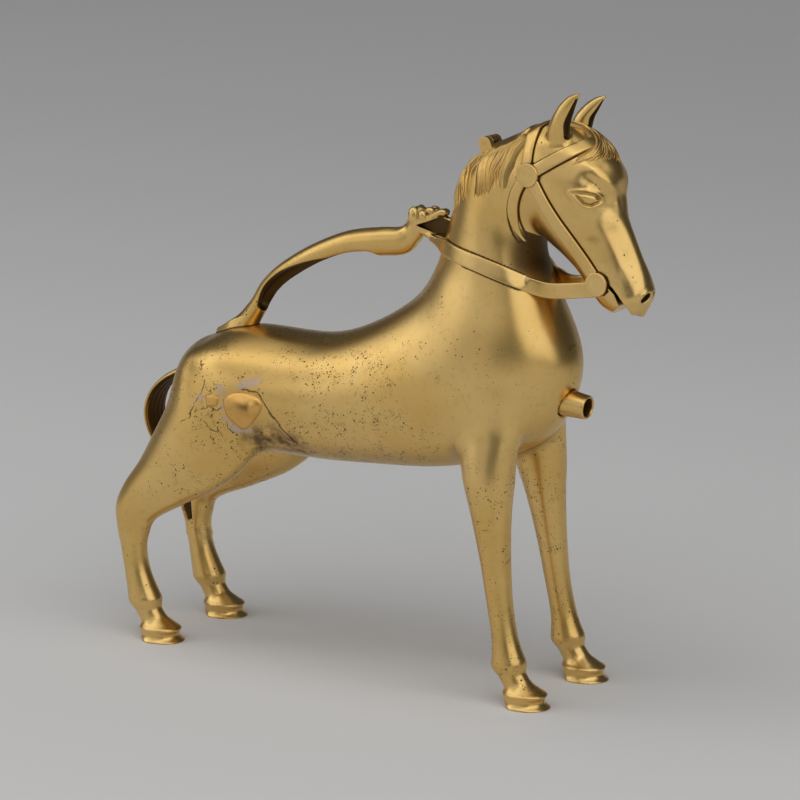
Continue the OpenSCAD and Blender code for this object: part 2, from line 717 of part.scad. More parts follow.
module cheek_strap_right() color(bright_brass) place() cast() cheek_strap(right);
module cheek_strap_left() color(bright_brass) place() cast() cheek_strap(left);

module browband() color(bright_brass) place() cast() difference() {
  layer(strap_thickness) browband_area();
  cheek_area();
}

module crownpiece() color(bright_brass) place() cast() difference() {
  layer(strap_thickness) crown_area();
  cheek_area();
  browband_area();
  lid_room();
}

module throatlatch() color(bright_brass) place() cast() difference() {
  layer(strap_thickness) throat_area();
  cheek_area();
}

// Reins: they lie on the neck, then run free to the bit
rein_points = [[-80, poll_z - 60], [-63, poll_z - 68.5], [-36, poll_z - 75], [-11.4, poll_z - 84]];
rein_leave = [-13, poll_z - 83.1];
rein_drop = 3;
rein_parting = 0.6;

module rein_area() across() for (i = [0:len(rein_points) - 2])
  hull() for (p = [rein_points[i], rein_points[i + 1]])
    translate(p) circle(d = rein_width, $fn = 8);

module rein_wrap() difference() {
  intersection() {
    body_form(strap_thickness);
    rein_area();
  }
  body_form();
}
module rein_on_neck(side) intersection() {
  rein_wrap();
  translate([0, side * (500 + rein_parting), 0]) cube(1000, center = true);
}

neck_side = 16.6;
module rein_free(side) {
  bit_side = head_side(bit_boss[0], bit_boss[1]) + strap_thickness / 2;
  hull() {
    translate([rein_leave[0], side * neck_side, rein_leave[1]]) rotate([90, 0, 0])
      cylinder(d = rein_width, h = strap_thickness, center = true, $fn = 10);
    translate(bit_point + [0, side * bit_side, -rein_drop]) rotate([90, 0, 0])
      cylinder(d = rein_width, h = strap_thickness, center = true, $fn = 10);
  }
}

module rein(side) difference() {
  union() {
    rein_on_neck(side);
    rein_free(side);
  }
  body_form();
  head_form();
  cheek_strap(side);
}

module rein_right() color(bright_brass) place() cast() rein(right);
module rein_left() color(bright_brass) place() cast() rein(left);

module rosette(boss, side) {
  face = head_side(boss[0], boss[1]) + strap_thickness + rosette_thickness;
  translate(head_at(boss[0], boss[1]) + [0, side * (face - 2 * rosette_thickness), 0])
    rotate([-90 * side, 0, 0]) cylinder(r = rosette_radius, h = 2 * rosette_thickness, $fn = 24);
}

module brow_rosettes() color(bright_brass) place() cast() for (side = [right, left]) difference() {
  rosette(brow_boss, side);
  hide(strap_thickness);
}

module bit_rosettes() color(bright_brass) place() cast() for (side = [right, left]) difference() {
  rosette(bit_boss, side);
  hide(strap_thickness);
  rein_free(side);
}

// Hair

module mane_area() across() polygon([
  [-90, poll_z - 46], [-56, poll_z - 57], [-50, poll_z - 50], [-44, poll_z - 52], [-37, poll_z - 44],
  [-30, poll_z - 47], [-26, poll_z - 38], [-20, poll_z - 28], [-14, poll_z - 10], [-14, poll_z + 20],
  [-90, poll_z + 20]
]);

module mane() color(brass) place() cast() difference() {
  layer(hair_thickness) mane_area();
  lid_room();
  lug_seat();
  crown_area();
  throat_area();
  handle_head_room();
  rein_area();
}

module handle_head_room() loft(handle_rows, 9, handle_end, 8, 12, 0, 0, 2);

// Outline of the forelock, laid on the brow
forelock_start = 0.03;
forelock_length = 0.3;
module forelock_area() translate(head_at(forelock_start, 0)) rotate([0, head_tilt, 0])
  linear_extrude(height = far / 8) polygon([
    [0, -8], [0.35 * forelock_length * head_length, -12], [0.8 * forelock_length * head_length, -9],
    [forelock_length * head_length, -2], [0.9 * forelock_length * head_length, 5],
    [0.5 * forelock_length * head_length, 11], [0, 8]
  ]);

module forelock() color(brass) place() cast() difference() {
  layer(hair_thickness) forelock_area();
  browband_area();
  crown_area();
  ear_block(right, 0.1);
  ear_block(left, 0.1);
}

// Repair plates let onto the right haunch

patch_x = -wheelbase + 61;
patch_z = belly_z + 32;
module patch_area() across() polygon([
  [patch_x - 9, patch_z + 7], [patch_x + 2, patch_z + 10], [patch_x + 9, patch_z + 5],
  [patch_x + 10, patch_z - 3], [patch_x + 1, patch_z - 12], [patch_x - 6, patch_z - 8]
]);

module small_patch_area() across() polygon([
  [patch_x - 19, patch_z + 8], [patch_x - 11, patch_z + 8], [patch_x - 12, patch_z + 1],
  [patch_x - 18, patch_z + 2]
]);

module haunch_patches() color(bright_brass) place() cast() on_side(right) difference() {
  intersection() {
    trunk_form(patch_thickness);
    union() {
      patch_area();
      small_patch_area();
    }
  }
  trunk_form();
  leg(hind_leg_rows(right), 0, hind_leg_end, right);
}

// The frame: the middle of the horse's length comes over the origin
front_x = max([for (ring = sections(head_rows, 0, head_end, head_steps, head_sides, 0, 0, lip_dome), p = ring)
  p[0]]);
rear_x = min([for (ring = sections(hind_leg_rows(right), 0, hind_leg_end, leg_steps(hind_leg_end), leg_sides,
  0, 0, 0), p = ring) p[0]]);
mid_x = (front_x + rear_x) / 2;
module place() translate([-mid_x, 0, 0]) children();

trunk_shell();
neck_shell();
head_shell();
front_leg_right();
front_leg_left();
hind_leg_right();
hind_leg_left();
hind_left_shank();
ear_right();
ear_left();
mane();
forelock();
hinge_lugs();
hinge_pin();
lid();
spout();
handle();
tail();
browband();
crownpiece();
throatlatch();
cheek_strap_right();
cheek_strap_left();
rein_right();
rein_left();
brow_rosettes();
bit_rosettes();
haunch_patches();
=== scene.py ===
"""Dressing of a horse-shaped water vessel in cast brass.

Sizes are in millimetres in the part's frame (+X to the head, +Y to the horse's left, Z up from the ground)
and become metres when a mesh is made. The horse's hide is one distance field, so that trunk, neck, head and
legs meet in smooth skin; straps, hair and lid are laid on that field.
"""

import logging
import math
from dataclasses import dataclass, field
from enum import Enum
from itertools import product
from typing import Callable, Sequence

import bmesh
import bpy
import numpy as np
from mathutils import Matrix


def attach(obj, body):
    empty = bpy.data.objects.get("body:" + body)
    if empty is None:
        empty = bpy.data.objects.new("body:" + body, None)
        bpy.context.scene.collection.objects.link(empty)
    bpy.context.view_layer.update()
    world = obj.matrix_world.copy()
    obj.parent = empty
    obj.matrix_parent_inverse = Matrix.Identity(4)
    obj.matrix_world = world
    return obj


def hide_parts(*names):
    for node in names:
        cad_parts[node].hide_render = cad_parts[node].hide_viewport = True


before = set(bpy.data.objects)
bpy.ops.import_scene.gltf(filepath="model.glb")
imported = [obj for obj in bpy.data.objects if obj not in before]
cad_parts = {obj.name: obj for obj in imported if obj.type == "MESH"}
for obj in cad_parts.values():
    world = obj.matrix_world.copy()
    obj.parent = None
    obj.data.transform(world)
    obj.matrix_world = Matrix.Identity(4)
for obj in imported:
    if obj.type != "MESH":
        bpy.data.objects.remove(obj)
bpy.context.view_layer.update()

import openvdb as vdb
from mathutils import Vector

LOG = logging.getLogger("aquamanile")
MM = 0.001  # a millimetre in metres
HOOF_X = 107.258  # where the front hooves stand
WHEELBASE = 241.0  # from the front hooves to the hind ones
RING_STEP = 0.04  # stations from one ring of a loft to the next
SEAT_SINK = 0.8  # how far a cast-on part reaches into the hide
Array = np.ndarray
Line = Sequence[Sequence[float]]
Triple = tuple[float, float, float]
Material = bpy.types.Material
Socket = bpy.types.NodeSocket


class Body(Enum):
    """The bodies that a piece may ride on."""

    VESSEL = "vessel"
    LID = "lid"


class Slot(Enum):
    """The record's material slots."""

    VESSEL = "vessel_brass"
    STRAP = "strap_brass"
    PATCH = "patch_brass"


class Side(Enum):
    """The horse's two sides, as the sign of Y."""

    RIGHT = -1
    LEFT = 1


# ---------------------------------------------------------------- small mathematics


def smooth_min(a: Array, b: Array, k: float) -> Array:
    """Joins two distance fields with a fillet k millimetres wide."""
    h = np.maximum(k - np.abs(a - b), 0.0)
    return np.minimum(a, b) - h * h / (4.0 * k)


def smooth_max(a: Array, b: Array, k: float) -> Array:
    """Keeps what two fields share, with a rounded edge of width k."""
    return -smooth_min(-a, -b, k)


def ease(x: Array, low: float, high: float) -> Array:
    """Rises smoothly from 0 at low to 1 at high."""
    t = np.clip((x - low) / (high - low), 0.0, 1.0)
    return t * t * (3.0 - 2.0 * t)


def unit(v: Array) -> Array:
    """Scales vectors along the last axis to length 1."""
    return v / np.maximum(np.linalg.norm(v, axis=-1, keepdims=True), 1e-9)


def along(points: Line, count: int) -> Array:
    """Resamples a smooth curve through points at even steps.

    Args:
        points: Control points of any dimension.
        count: Number of samples.

    Returns:
        An array of count points.
    """
    p = np.asarray(points, float)
    q = np.vstack([2 * p[0] - p[1], p, 2 * p[-1] - p[-2]])
    fine = []
    for i in range(len(p) - 1):
        a, b, c, d = q[i : i + 4]
        u = np.linspace(0, 1, 24, endpoint=False)[:, None]
        fine.append(b + u / 2 * ((c - a) + u * ((2 * a - 5 * b + 4 * c - d) + u * (3 * b - a - 3 * c + d))))
    path = np.vstack(fine + [p[-1:]])
    reach = np.concatenate([[0], np.cumsum(np.linalg.norm(np.diff(path, axis=0), axis=1))])
    at = np.linspace(0, reach[-1], count)
    return np.stack([np.interp(at, reach, path[:, k]) for k in range(path.shape[1])], 1)


def bump(off: Array, width: Array | float) -> Array:
    """Gives a bell curve, 1 where off is 0."""
    return np.exp(-0.5 * (off / width) ** 2)


def trace(points: Array, line: Line, reach: float, count: int = 18) -> tuple[Array, Array, Array]:
    """Finds the points close to a smooth line.

    Args:
        points: Points, one a row.
        line: The line's control points.
        reach: Largest distance.
        count: Number of samples along the line.

    Returns:
        The numbers of the points within reach, their distances and their places along the line from 0 to 1.
    """
    path = along(line, count)
    rows = np.flatnonzero(np.all((points > path.min(0) - reach) & (points < path.max(0) + reach), axis=1))
    p = points[rows]
    best, share = np.full(len(rows), 1e9), np.zeros(len(rows))
    for k, (a, b) in enumerate(zip(path[:-1], path[1:])):
        ab = b - a
        t = np.clip(((p - a) @ ab) / (ab @ ab), 0.0, 1.0)
        d = ((p - a - t[:, None] * ab) ** 2).sum(1)
        closer = d < best
        best[closer], share[closer] = d[closer], (k + t[closer]) / (count - 1)
    keep = best < reach * reach
    return rows[keep], np.sqrt(best[keep]), share[keep]


def round_cone(x: Array, y: Array, z: Array, a: Triple, ra: float, b: Triple, rb: float) -> Array:
    """Gives the distance to a rod with round ends and a radius that changes along it.

    Args:
        x: First coordinate.
        y: Second coordinate.
        z: Third coordinate.
        a: First end.
        ra: Radius there.
        b: Second end.
        rb: Radius there.

    Returns:
        The distances, negative inside.
    """
    ab = np.asarray(b, float) - np.asarray(a, float)
    t = np.clip(((x - a[0]) * ab[0] + (y - a[1]) * ab[1] + (z - a[2]) * ab[2]) / (ab @ ab), 0.0, 1.0)
    off = np.sqrt((x - a[0] - t * ab[0]) ** 2 + (y - a[1] - t * ab[1]) ** 2 + (z - a[2] - t * ab[2]) ** 2)
    return off - ra - t * (rb - ra)


def polygon_level(u: Array, v: Array, corners: Line) -> Array:
    """Gives the signed distance to a flat outline, negative inside.

    Args:
        u: First coordinate.
        v: Second coordinate.
        corners: The outline's corners in order.

    Returns:
        The distances, in the shape of u.
    """
    best = np.full(u.shape, 1e9)
    inside = np.zeros(u.shape, bool)
    ring = list(corners)
    for (ax, ay), (bx, by) in zip(ring, ring[1:] + ring[:1]):
        ex, ey = bx - ax, by - ay
        t = np.clip(((u - ax) * ex + (v - ay) * ey) / (ex * ex + ey * ey), 0.0, 1.0)
        best = np.minimum(best, np.hypot(u - ax - t * ex, v - ay - t * ey))
        crosses = ((ay > v) != (by > v)) & (u < (v - ay) * ex / (ey if ey else 1e-12) + ax)
        inside ^= crosses
    return np.where(inside, -best, best)


# ---------------------------------------------------------------- closed surfaces


@dataclass
class Form:
    """A surface in millimetres: points and triangles, normals and painted shade values at the points, marks of flat
    faces.
    """

    points: Array
    faces: Array
    normals: Array | None = None
    recess: Array | None = None
    flat: Array | None = None

    def flipped(self) -> "Form":
        """Turns the surface inside out."""
        normals = None if self.normals is None else -self.normals
        return Form(self.points, self.faces[:, ::-1].copy(), normals, self.recess, self.flat)

    def volume(self) -> float:
        """Gives the signed volume."""
        a, b, c = (self.points[self.faces[:, k]] for k in range(3))
        return float(np.einsum("ij,ij->i", a, np.cross(b, c)).sum() / 6.0)

    def outward(self) -> "Form":
        """Gives the surface with its faces pointing outwards."""
        return self if self.volume() > 0 else self.flipped()

    def darken(self, share: Array | float) -> None:
        """Raises the painted shade at the points to at least a share."""
        self.recess = np.maximum(self.recess, share)

    def joined(self, other: "Form") -> "Form":
        """Puts another surface into the same mesh."""
        a, b = self.complete(), other.complete()
        return Form(
            np.vstack([a.points, b.points]),
            np.vstack([a.faces, b.faces + len(a.points)]),
            np.vstack([a.normals, b.normals]),
            np.concatenate([a.recess, b.recess]),
            np.concatenate([a.flat, b.flat]),
        )

    def complete(self) -> "Form":
        """Fills in missing normals, recess values and flat marks."""
        normals = self.normals
        if normals is None:
            a, b, c = (self.points[self.faces[:, k]] for k in range(3))
            n = np.cross(b - a, c - a)
            normals = np.zeros_like(self.points)
            for k in range(3):
                np.add.at(normals, self.faces[:, k], n)
            normals = unit(normals)
        recess = np.zeros(len(self.points)) if self.recess is None else self.recess
        flat = np.zeros(len(self.faces), bool) if self.flat is None else self.flat
        return Form(self.points, self.faces, normals, recess, flat)

    def cut(self, label: Array) -> "Form":
        """Keeps the part where a label on the points is positive, splitting triangles along its zero line.

        Args:
            label: One value a point.

        Returns:
            The kept surface, open along the cut.
        """
        full = self.complete()
        label = np.where(np.abs(label) < 1e-6, 1e-6, label)
        keep = label > 0
        inside = keep[full.faces].sum(1)
        faces, marks = [full.faces[inside == 3]], [full.flat[inside == 3]]
        data = np.hstack([full.points, full.normals, full.recess[:, None]])
        split = (inside == 1) | (inside == 2)
        if split.any():
            crossed, flat, one = full.faces[split], full.flat[split], inside[split] == 1
            first = (keep[crossed] == one[:, None]).argmax(1)
            rows = np.arange(len(crossed))
            a, b, c = (crossed[rows, (first + k) % 3] for k in range(3))
            edges = np.sort(np.vstack([np.stack([a, b], 1), np.stack([a, c], 1)]), 1)
            pairs, where = np.unique(edges, axis=0, return_inverse=True)
            la, lb = label[pairs[:, 0]], label[pairs[:, 1]]
            t = (la / (la - lb))[:, None]
            ab, ac = where.reshape(2, -1) + len(data)
            data = np.vstack([data, data[pairs[:, 0]] * (1 - t) + data[pairs[:, 1]] * t])
            faces += [np.stack([a, ab, ac], 1)[one], np.stack([ab, b, c], 1)[~one], np.stack([ab, c, ac], 1)[~one]]
            marks += [flat[one], flat[~one], flat[~one]]
        used, index = np.unique(np.vstack(faces), return_inverse=True)
        data = data[used]
        return Form(data[:, :3], index.reshape(-1, 3), unit(data[:, 3:6]), data[:, 6], np.concatenate(marks))

    def borders(self) -> list[Array]:
        """Lists the open edges as closed loops of point numbers, in the faces' direction."""
        edges = np.vstack([self.faces[:, [0, 1]], self.faces[:, [1, 2]], self.faces[:, [2, 0]]])
        keys = {(int(a), int(b)) for a, b in edges}
        follow = {a: b for a, b in keys if (b, a) not in keys}
        loops = []
        while follow:
            start, step = next(iter(follow.items()))
            ring = [start]
            del follow[start]
            while step != start and step in follow:
                ring.append(step)
                step = follow.pop(step)
            if len(ring) > 4:
                loops.append(np.array(ring))
        return loops

    def filled(self, loops: list[Array], facing: Sequence[float]) -> "Form":
        """Closes loops with flat faces.

        Args:
            loops: Open loops that lie on one sheet; inner loops become holes of the sheet.
            facing: The direction that the new faces point in.

        Returns:
            The surface with the sheet added.
        """
        full = self.complete()
        bm = bmesh.new()
        owner: dict[bmesh.types.BMVert, int] = {}
        edges = []
        for ring in loops:
            verts = [bm.verts.new(full.points[i]) for i in ring]
            owner.update({v: int(i) for v, i in zip(verts, ring)})
            edges += [bm.edges.new((verts[k - 1], verts[k])) for k in range(len(verts))]
        made = bmesh.ops.triangle_fill(bm, use_beauty=True, use_dissolve=False, edges=edges, normal=facing)
        faces = []
        for item in made["geom"]:
            if isinstance(item, bmesh.types.BMFace):
                tri = [owner[v] for v in item.verts]
                a, b, c = full.points[tri]
                faces.append(tri if np.dot(np.cross(b - a, c - a), facing) > 0 else tri[::-1])
        bm.free()
        if not faces:
            return full
        cap = np.array(faces)
        used, index = np.unique(cap, return_inverse=True)
        # the flat caps get a fixed share of painted shade
        sheet = Form(full.points[used], index.reshape(-1, 3), None, np.full(len(used), 0.6), np.ones(len(cap), bool))
        return full.joined(sheet)


@dataclass
class Loft:
    """A smooth skin over station rows: upper x and z, lower x and z, y, half width and fullness.

    With even set, the curvature too runs on through the rows.
    """

    rows: Line
    side: int = 1
    shift: float = HOOF_X
    even: bool = False

    def row(self, t: Array | float) -> Array:
        """Gives the rows at fractional stations.

        Args:
            t: Station numbers.

        Returns:
            Seven values for each.
        """
        t = np.atleast_1d(np.asarray(t, float))
        r = np.array([list(x) + [0.0] * (7 - len(x)) for x in self.rows], float)
        i = np.clip(np.floor(t).astype(int), 0, len(r) - 2)
        u = (t - i)[:, None]
        slope = np.vstack([r[1:2] - r[:1], r[2:] - r[:-2], r[-1:] - r[-2:-1]]) / 2
        if self.even:
            n = len(r)
            share = np.eye(n, k=-1) + 4 * np.eye(n) + np.eye(n, k=1)
            share[[0, -1]] = 6 * np.eye(n)[[0, -1]]
            slope = np.linalg.solve(share, 6 * slope)
        b, c, p, q = r[i], r[i + 1], slope[i], slope[i + 1]
        out = b + u * (p + u * (3 * (c - b) - 2 * p - q + u * (2 * (b - c) + p + q)))
        out[:, [0, 2]] += self.shift
        out[:, 4] *= self.side
        return out

    def ring(self, row: Array, swell: float, sides: int) -> Array:
        """Draws the section of one row.

        Args:
            row: The row's seven values.
            swell: How far the section is grown.
            sides: Number of points.

        Returns:
            The ring's points.
        """
        a = np.linspace(0, 2 * math.pi, sides, endpoint=False)
        upper, lower = np.array([row[0], 0, row[1]]), np.array([row[2], 0, row[3]])
        half = np.linalg.norm(upper - lower) / 2
        up = (upper - lower) / (2 * half)
        mid = (upper + lower) / 2 + np.array([0, row[4], 0])
        width = np.maximum(row[5] * (1 + row[6] * np.cos(a)) + swell, 0.05)
        return mid + np.outer((half + swell) * np.cos(a), up) + np.outer(width * np.sin(a), [0, 1, 0])

    def form(
        self, t0: float, t1: float, swell: float = 0.0, domes: tuple[float, float] = (0, 0), sides: int = 128
    ) -> Form:
        """Makes the closed skin between two stations.

        Args:
            t0: First station.
            t1: Last station.
            swell: How far the skin is grown.
            domes: Height of the round end at the first and the last station.
            sides: Points round a ring.

        Returns:
            The closed surface.
        """
        t = np.linspace(t0, t1, max(int((t1 - t0) / RING_STEP), 2) + 1)
        rings = [self.ring(r, swell, sides) for r in self.row(t)]
        mids = [r.mean(0) for r in rings]
        poles = []
        for end, near, dome in ((0, 1, domes[0]), (-1, -2, domes[1])):
            axis = np.cross(unit(rings[end][0] - mids[end]), [0.0, 1.0, 0.0])
            axis *= np.sign(axis @ (mids[end] - mids[near])) or 1.0
            caps = []
            if dome > 0:
                for f in np.linspace(0, math.pi / 2, 9)[1:-1]:
                    caps.append(mids[end] + (rings[end] - mids[end]) * math.cos(f) + axis * dome * math.sin(f))
            poles.append((caps, mids[end] + axis * dome))
        rings = poles[0][0][::-1] + rings + poles[1][0]
        return closed_rings(np.array(rings), poles[0][1], poles[1][1])


def strip(near: Array, far: Array) -> Array:
    """Lists the triangles between rings of point numbers and the rings beside them."""
    b, d = np.roll(near, -1, 1), np.roll(far, -1, 1)
    return np.vstack([np.stack(corners, -1).reshape(-1, 3) for corners in ((near, b, d), (near, d, far))])


def closed_rings(rings: Array, first: Array, last: Array) -> Form:
    """Skins rings of points and closes both ends to a point.

    Args:
        rings: Array of rings, each with the same number of points.
        first: The point that closes the first ring.
        last: The point that closes the last ring.

    Returns:
        The closed surface, facing outwards.
    """
    n, s = rings.shape[:2]
    grid = np.arange(n * s).reshape(n, s)
    caps = [
        np.stack([np.full(s, n * s), np.roll(grid[0], -1), grid[0]], 1),
        np.stack([np.full(s, n * s + 1), grid[-1], np.roll(grid[-1], -1)], 1),
    ]
    points = np.vstack([rings.reshape(-1, 3), first, last])
    return Form(points, np.vstack([strip(grid[:-1], grid[1:]), *caps])).outward()


class Grid:
    """A box of sample points on which distance fields live."""

    def __init__(self, low: Sequence[float], high: Sequence[float], voxel: float, reach: float = 0.8) -> None:
        """Lays out the samples.

        Args:
            low: Lowest corner.
            high: Highest corner.
            voxel: Distance between samples.
            reach: Half the span, in samples, over which slopes are read.
        """
        self.voxel, self.reach = voxel, reach
        self.start = np.floor(np.array(low) / voxel).astype(int)
        self.count = np.ceil(np.array(high) / voxel).astype(int) - self.start + 1
        axes = [(np.arange(self.count[k]) + self.start[k]) * voxel for k in range(3)]
        self.x, self.y, self.z = axes[0][:, None, None], axes[1][None, :, None], axes[2][None, None, :]

    def level(self, form: Form, band: float) -> Array:
        """Gives the distance to a closed surface, negative inside, cut off at the band.

        Args:
            form: The surface.
            band: Largest distance that is kept.

        Returns:
            The field.
        """
        made = vdb.FloatGrid.createLevelSetFromPolygons(
            form.points.astype(np.float32),
            triangles=form.faces.astype(np.uint32),
            transform=vdb.createLinearTransform(voxelSize=self.voxel),
            halfWidth=band / self.voxel,
        )
        data = np.full(tuple(self.count), band, np.float32)
        made.copyToArray(data, ijk=tuple(int(i) for i in self.start))
        return data

    def soften(self, data: Array, rounds: int) -> Array:
        """Evens out a field with a three-point average along each axis.

        Args:
            data: The field.
            rounds: How often it is averaged.

        Returns:
            The softened field.
        """
        out = data.astype(np.float32)
        for _ in range(rounds):
            for axis in range(3):
                view = np.moveaxis(out, axis, 0)
                view[1:-1] = view[1:-1] * 0.5 + (view[:-2] + view[2:]) * 0.25
        return out

    def near(self, data: Array, reach: float) -> tuple[tuple[Array, ...], Array]:
        """Gives the indices and the places of the samples within reach of a surface."""
        found = np.argwhere(np.abs(data) < reach)
        return tuple(found.T), (found + self.start) * self.voxel

    def sample(self, data: Array, points: Array) -> Array:
        """Reads a field between its samples.

        Args:
            data: The field.
            points: Points, one a row.

        Returns:
            The values.
        """
        q = np.clip(points / self.voxel - self.start, 0, self.count - 1.001)
        i = q.astype(int)
        f = q - i
        out = np.zeros(len(points))
        for dx, dy, dz in product((0, 1), repeat=3):
            w = np.abs(1 - dx - f[:, 0]) * np.abs(1 - dy - f[:, 1]) * np.abs(1 - dz - f[:, 2])
            out += w * data[i[:, 0] + dx, i[:, 1] + dy, i[:, 2] + dz]
        return out

    def slope(self, data: Array, points: Array) -> Array:
        """Gives the unit direction in which a field grows."""
        return unit(self.gradient(data, points))

    def gradient(self, data: Array, points: Array) -> Array:
        """Gives a field's rate of change along each axis."""
        e = self.voxel * self.reach
        steps = np.eye(3) * e
        return np.stack([(self.sample(data, points + s) - self.sample(data, points - s)) / (2 * e) for s in steps], 1)

    def settle(
        self, data: Array, points: Array, target: Array | float = 0.0, rounds: int = 4, limit: float = 2.0
    ) -> Array:
        """Moves points onto a level of a field.

        Args:
            data: The field.
            points: Start points.
            target: The level.
            rounds: Number of steps.
            limit: Longest step.

        Returns:
            The moved points.
        """
        p = points.copy()
        for _ in range(rounds):
            g = self.gradient(data, p)
            d = (self.sample(data, p) - target) / np.maximum((g * g).sum(1), 0.2)
            p -= np.clip(d, -limit, limit)[:, None] * g
        return p

    def skin(self, data: Array, hollow_seen: float = 3.0) -> Form:
        """Draws the surface where a field is zero.

        Args:
            data: The field.
            hollow_seen: Reach within which a hollow place gets painted shade.

        Returns:
            The surface with normals and painted shade values.
        """
        made = vdb.FloatGrid(float(data.max()))
        made.copyFromArray(np.ascontiguousarray(data, np.float32), ijk=tuple(int(i) for i in self.start))
        made.transform = vdb.createLinearTransform(voxelSize=self.voxel)
        points, quads = made.convertToQuads(0.0)
        points = self.settle(data, points.astype(float), rounds=2, limit=0.4 * self.voxel)
        quads = quads.astype(int)
        a = np.linalg.norm(points[quads[:, 0]] - points[quads[:, 2]], axis=1)
        b = np.linalg.norm(points[quads[:, 1]] - points[quads[:, 3]], axis=1)
        q = np.where((b < a)[:, None], np.roll(quads, -1, 1), quads)
        faces = np.vstack([q[:, [0, 1, 2]], q[:, [0, 2, 3]]])
        normals = self.slope(data, points)
        # painted shade: points whose field stays close along the normal, as in hollows and creases, are darkened
        recess = np.zeros(len(points))
        for d, weight in ((0.5 * hollow_seen, 0.5), (hollow_seen, 0.5)):
            recess += weight * np.clip(1 - self.sample(data, points + normals * d) / d, 0, 1)
        return Form(points, faces, normals, recess).outward()

    def refaced(self, form: Form, data: Array) -> Form:
        """Takes a hollow surface's outer normals from its outer field, since a thin wall tilts its own.

        Args:
            form: The surface.
            data: The field of its outside.

        Returns:
            The same surface with the outer normals renewed.
        """
        on = np.abs(self.sample(data, form.points)) < 0.1
        form.normals[on] = self.slope(data, form.points[on])
        return form


# ---------------------------------------------------------------- finishes


class Tree:
    """Short hand for laying out shader nodes."""

    def __init__(self, name: str) -> None:
        """Starts an empty material.

        Args:
            name: The material's name.
        """
        self.material = bpy.data.materials.new(name)
        self.material.use_nodes = True
        self.nodes = self.material.node_tree.nodes
        self.links = self.material.node_tree.links
        self.nodes.clear()

    def add(self, kind: str, props: dict | None = None, **inputs: object) -> bpy.types.Node:
        """Adds a node.

        Args:
            kind: The node's type without the ShaderNode prefix.
            props: Properties of the node.
            inputs: Values or output sockets by input name, with _ for a space, or by i and the input's number.

        Returns:
            The node.
        """
        node = self.nodes.new("ShaderNode" + kind)
        for key, value in (props or {}).items():
            setattr(node, key, value)
        for key, value in inputs.items():
            numbered = key[0] == "i" and key[1:].isdigit()
            socket = node.inputs[int(key[1:]) if numbered else key.replace("_", " ")]
            if isinstance(value, Socket):
                self.links.new(value, socket)
            else:
                socket.default_value = value
        return node

    def math(self, operation: str, a: object, b: object = 0.0, clamp: bool = False) -> Socket:
        """Adds a sum, product or the like and returns its output."""
        return self.add("Math", {"operation": operation, "use_clamp": clamp}, i0=a, i1=b).outputs[0]

    def times(self, a: object, b: object, clamp: bool = False) -> Socket:
        """Adds a product and returns its output."""
        return self.math("MULTIPLY", a, b, clamp)

    def rising(self, value: object, rise: float, start: float) -> Socket:
        """Multiplies a value by rise, adds start and returns the output."""
        return self.add("Math", {"operation": "MULTIPLY_ADD"}, i0=value, i1=rise, i2=start).outputs[0]

    def vector(self, operation: str, a: object, **inputs: object) -> bpy.types.NodeOutputs:
        """Adds vector mathematics and returns its outputs, the vector and the number."""
        return self.add("VectorMath", {"operation": operation}, i0=a, **inputs).outputs

    def mix(self, factor: object, a: object, b: object) -> Socket:
        """Mixes two colours and returns the output."""
        return self.add("Mix", {"data_type": "RGBA"}, i0=factor, i6=a, i7=b).outputs[2]

    def band(self, value: object, low: float, high: float) -> Socket:
        """Turns a value into 0 at low and 1 at high, smoothly."""
        smooth = {"interpolation_type": "SMOOTHSTEP"}
        return self.add("MapRange", smooth, Value=value, From_Min=low, From_Max=high).outputs[0]

    def noise(self, vector: object, scale: float, detail: float = 3.0, rough: float = 0.55) -> Socket:
        """Adds a noise and returns its value."""
        return self.add("TexNoise", None, Vector=vector, Scale=scale, Detail=detail, Roughness=rough).outputs[0]


